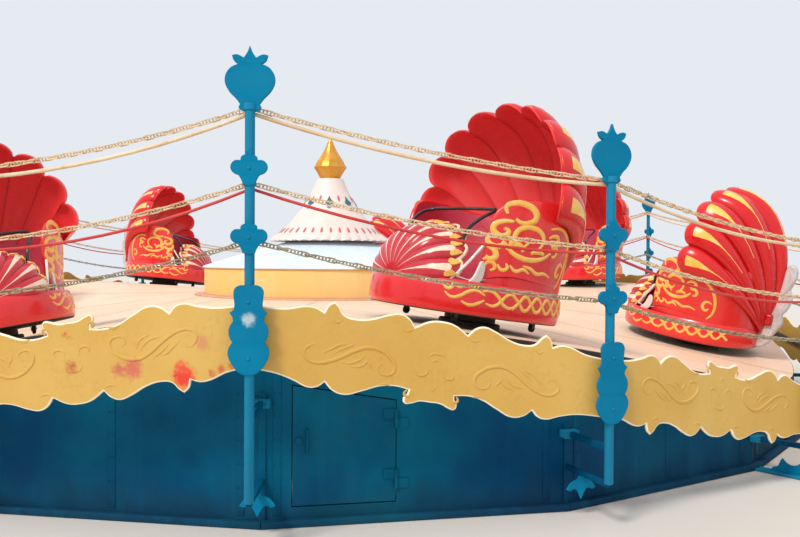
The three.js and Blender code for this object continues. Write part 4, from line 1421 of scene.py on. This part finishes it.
keelLook = {
    "outline": [
        (-0.6, 0.1, 1), (-0.625, 0.2), (-0.66, 0.3), (-0.7, 0.38, 1), (-0.745, 0.5), (-0.765, 0.6),
        (-0.775, 0.7, 1), (-0.785, 0.8), (-0.79, 0.9), (-0.8, 0.97), (-0.835, 1.01), (-0.875, 1.0),
        (-0.91, 0.93), (-0.9, 0.84), (-0.872, 0.75, 1), (-0.905, 0.66), (-0.885, 0.55), (-0.84, 0.47, 1),
        (-0.855, 0.38), (-0.82, 0.29), (-0.775, 0.22, 1), (-0.76, 0.15), (-0.7, 0.09), (-0.64, 0.078)],
    "veins": [
        [(-0.65, 0.12), (-0.7, 0.17), (-0.74, 0.25), (-0.75, 0.33), (-0.8, 0.41)],
        [(-0.79, 0.42), (-0.82, 0.52), (-0.86, 0.62), (-0.86, 0.71)],
        [(-0.83, 0.7), (-0.865, 0.79), (-0.87, 0.88), (-0.84, 0.95)],
        [(-0.7, 0.26), (-0.73, 0.31), (-0.74, 0.36)], [(-0.81, 0.58), (-0.82, 0.66), (-0.86, 0.68)]],
    "thick": 0.075,
}

# fittings: half of the lap rail, to be mirrored, and the levers, wheels and feet of both sides
fittingLook = {
    "lapBar": [
        (0.47, 0.34, 0.53), (0.455, 0.36, 0.66), (0.37, 0.4, 0.755), (0.27, 0.42, 0.82), (0.21, 0.36, 0.845),
        (0.2, 0, 0.85)],
    "lever": [(0.6, 0.435, 0.29), (0.5, 0.465, 0.4), (0.385, 0.49, 0.56)],
    "swirl": [
        (0.54, 0.255, 1), (0.47, 0.262), (0.4, 0.29), (0.37, 0.36), (0.378, 0.43), (0.405, 0.445),
        (0.43, 0.4), (0.455, 0.34), (0.5, 0.29)],
    "boss": [(0, 0.03), (0.016, 0.03), (0.024, 0.02), (0.026, -0.01), (0, -0.01)],
    "bossAt": (0.47, 0.34, 0.538),
    "tyre": [(0, -0.014), (0.024, -0.014), (0.03, -0.008), (0.03, 0.008), (0.024, 0.014), (0, 0.014)],
    "wheels": ((0.4, 0.3), (0.4, -0.3), (-0.34, 0.34), (-0.34, -0.34)),
    "leaf": [(0, 0.06, 1), (0.02, 0.02), (0.03, -0.02), (0, -0.045, 1)],
}


# a place for something drawn in x,y and standing up along the car
def uprightAt(x, y, z):
    return axes(Vector((1, 0, 0)), Vector((0, 0, 1)), Vector((0, -1, 0)), Vector((x, y, z)))


# the bench, its front cut on a slant and rounded
def seatMesh(s):
    cut = bmesh.new()
    cut.from_mesh(shaped(turnedMesh(s["seat"], 64), lambda a: tubPlan(a, s), s["centre"]))
    front, slant = s["seatFront"], s["seatSlant"]
    bmesh.ops.bisect_plane(cut, geom=cut.verts[:] + cut.edges[:] + cut.faces[:], dist=1e-5,
                           plane_co=(front, 0, 0), plane_no=(1, 0, slant), clear_outer=True)
    bmesh.ops.holes_fill(cut, edges=[e for e in cut.edges if e.is_boundary], sides=0)
    rim = [e for e in cut.edges if e.calc_length() > 0.03
           and all(abs(v.co.x - front + v.co.z * slant) < 0.002 and v.co.z > 0.45 for v in e.verts)]
    bmesh.ops.bevel(cut, geom=rim, offset=0.03, affect="EDGES", segments=3, profile=0.5, material=-1)
    bmesh.ops.recalc_face_normals(cut, faces=cut.faces)
    return meshFrom(cut, "seat")


def makeBody(ridge):
    body = bmesh.new()
    stamp(body, wrapMesh(tubLook["cols"], tubLook["rows"], lambda p, q: tubSpot(p, q, tubLook), None,
                         lambda p, q: 1 if tubLook["topTo"] < q < tubLook["insideTo"] else 0))
    plain = turnedMesh(skirtLook["profile"], skirtLook["sides"])
    skirt = shaped(plain, lambda a: skirtPlan(a, skirtLook), skirtLook["centre"])
    for face in skirt.polygons:
        z = face.center.z
        face.material_index = 3 if z < 0.0625 else 1 if z < 0.2 and face.normal.z > 0.7 else 0
    stamp(body, skirt)
    stamp(body, wrapMesh(noseLook["cols"], noseLook["rows"], lambda p, q: noseSpot(p, q, noseLook), noseUv,
                         lambda p, q: 2 if q < 1 - noseLook["cap"] else 1))
    stamp(body, seatMesh(tubLook), None, 1)
    stamp(body, turnedMesh([(0, 0.0005), (0.2, 0.0005), (0.2, 0.074), (0, 0.074)], 32), None, 3)
    stamp(body, meshFrom(ridge, "ridge"))
    return body


# gold leaves along the hood's edge
def stampLeaves(gold, s):
    leaf = plateMesh(bothSides(fittingLook["leaf"]), 0.012, 0.004)
    for i in range(s["lobes"] * 2):
        p = (i + 0.5) / s["lobes"] / 2
        a, b = noseSpot(p, 0.405, s), noseSpot(p, 0.44, s)
        back = (b - a).normalized()
        side = (noseSpot(p + 0.01, 0.42, s) - noseSpot(p - 0.01, 0.42, s)).normalized()
        high = side.cross(back)
        if high.dot(Vector((0, a.y, a.z))) < 0:
            side, high = -side, -high
        stamp(gold, leaf, axes(side, back, high, (a + b) / 2 + high * 0.004))


def makeKeel(s):
    keel = bmesh.new()
    stamp(keel, plateMesh(s["outline"], s["thick"], 0.022, 4), uprightAt(0, 0, 0))
    for sign in (1, -1):
        stamp(keel, strokeMesh(s["veins"], 0.03, 0.7, 4, 0.3), uprightAt(0, -sign * s["thick"] / 2, 0))
    return keel


def makeFittings(s):
    fittings = bmesh.new()
    lapBar = s["lapBar"] + [(x, -y, z) for x, y, z in s["lapBar"][-2::-1]]
    stamp(fittings, bentBar(lapBar, 0.0135, 2), None, 0)
    for side in (1, -1):
        x, y, z = s["bossAt"]
        tilted = axes(Vector((1, 0, 0)), Vector((0, 0.65, -side * 0.76)), Vector((0, side * 0.76, 0.65)),
                      Vector((x, side * y, z)))
        stamp(fittings, turnedMesh(s["boss"], 20), tilted)
        stamp(fittings, plateMesh(s["swirl"], 0.02, 0.007, 3), uprightAt(0, side * 0.515, 0), 1)
        stamp(fittings, bentBar([(x, y * side, z) for x, y, z in s["lever"]], 0.011, 2), None, 1)
    for x, y in s["wheels"]:
        stamp(fittings, turnedMesh(s["tyre"], 24), uprightAt(x, y, 0.012), 2)
        for dy in (-0.019, 0.019):
            stamp(fittings, boxMesh((0.03, 0.005, 0.066), 0.002), Matrix.Translation((x, y + dy, 0.042)), 0)
    for side in (1, -1):
        chain = []
        for u in (i / 8 for i in range(9)):
            sag = 0.03 * math.sin(math.pi * u)
            chain.append(Vector((mix(0.6, 0.31, u), side * mix(0.44, 0.52, u), 0.33 - sag)))
        stamp(fittings, barMesh(chain, 0.005, 0), None, 1)
    return fittings


def makeCar():
    shell = makeShell(shellLook)
    gold, ridge = makeTrim(scrollLook)
    body = makeBody(ridge)
    cream = bmesh.new()
    stamp(cream, barMesh([noseSpot(i / 180, 0.5, noseLook) for i in range(4, 177)], 0.02, 1))
    stampLeaves(gold, noseLook)
    return {"Shell": shell, "Body": body, "Gold": gold, "Cream": cream, "Keel": makeKeel(keelLook),
            "Fittings": makeFittings(fittingLook)}


looks["shellRed"] = lobePaint("shellRed", shellLook)
looks["noseRed"] = lobePaint("noseRed", noseLook)
carPieces = {
    "Shell": dict(slot="car_shell", looks=("shellRed",), node="shell", smooth=70),
    "Body": dict(
        slot="car_body", looks=("carRed", "carInside", "noseRed", "darkSteel"), node="body", smooth=50),
    "Gold": dict(slot="car_body", looks=("goldPaint",), smooth=60),
    "Cream": dict(slot="car_body", looks=("creamPaint",), smooth=60),
    "Keel": dict(slot="car_shell", looks=("keelSilver",), smooth=45),
    "Fittings": dict(slot="car_body", looks=("barBlack", "leverWhite", "tyreBlack"), smooth=45),
}


def buildCars():
    meshes = {part: meshFrom(bm, part) for part, bm in makeCar().items()}
    for i in range(ride["cars"]):
        at, high, radial, a = carSeat(i)
        turn = math.radians(ride["carTurn"][i])
        side = high.cross(radial)
        ahead = radial * math.cos(turn) + side * math.sin(turn)
        place = axes(ahead, high.cross(ahead), high, at + high * ride["pad"])
        tag = "car_%02d" % (i + 1)
        for part, s in carPieces.items():
            bm = bmesh.new()
            stamp(bm, meshes[part], place)
            finishPiece("car%02d%s" % (i + 1, part), bm, tag, [looks[n] for n in s["looks"]],
                        ["%s_%s" % (tag, s["node"])] if "node" in s else (), s["smooth"])


buildCars()
print("cars ready")


# pale floor and soft light
stageLook = {
    "floor": rgb(214, 208, 200), "cloud": rgb(188, 180, 170), "sky": (0.86, 0.9, 0.96), "skyStrength": 0.92,
    "sun": 2.15, "sunColour": (1.0, 0.95, 0.88), "sunTurn": (42, 0, -38), "sunSoft": 14,
}


def buildStage(s):
    bm = bmesh.new()
    bmesh.ops.create_grid(bm, x_segments=1, y_segments=1, size=60)
    mesh = meshFrom(bm, "floorPlane")
    look, tree, shader, place = newMaterial("floorPale")
    cloud = rangeNode(tree, noise(tree, place, 0.6, 6.0, 0.6), 0.3, 0.7)
    colour = mixColour(tree, times(tree, cloud, 0.12), s["floor"], s["cloud"])
    tree.links.new(colour, shader.inputs["Base Color"])
    shader.inputs["Roughness"].default_value = 0.85
    mesh.materials.append(look)
    floor = bpy.data.objects.new("floorPlane", mesh)
    floor.location = (0, 0, -0.002)
    scene.collection.objects.link(floor)
    world = bpy.data.worlds.new("studio")
    world.use_nodes = True
    world.node_tree.nodes["Background"].inputs[0].default_value = (*s["sky"], 1)
    world.node_tree.nodes["Background"].inputs[1].default_value = s["skyStrength"]
    scene.world = world
    scene.view_settings.view_transform = "Standard"
    sun = bpy.data.lights.new("softSun", "SUN")
    sun.energy = s["sun"]
    sun.angle = math.radians(s["sunSoft"])
    sun.color = s["sunColour"]
    lamp = bpy.data.objects.new("softSun", sun)
    lamp.rotation_euler = [math.radians(v) for v in s["sunTurn"]]
    scene.collection.objects.link(lamp)


buildStage(stageLook)
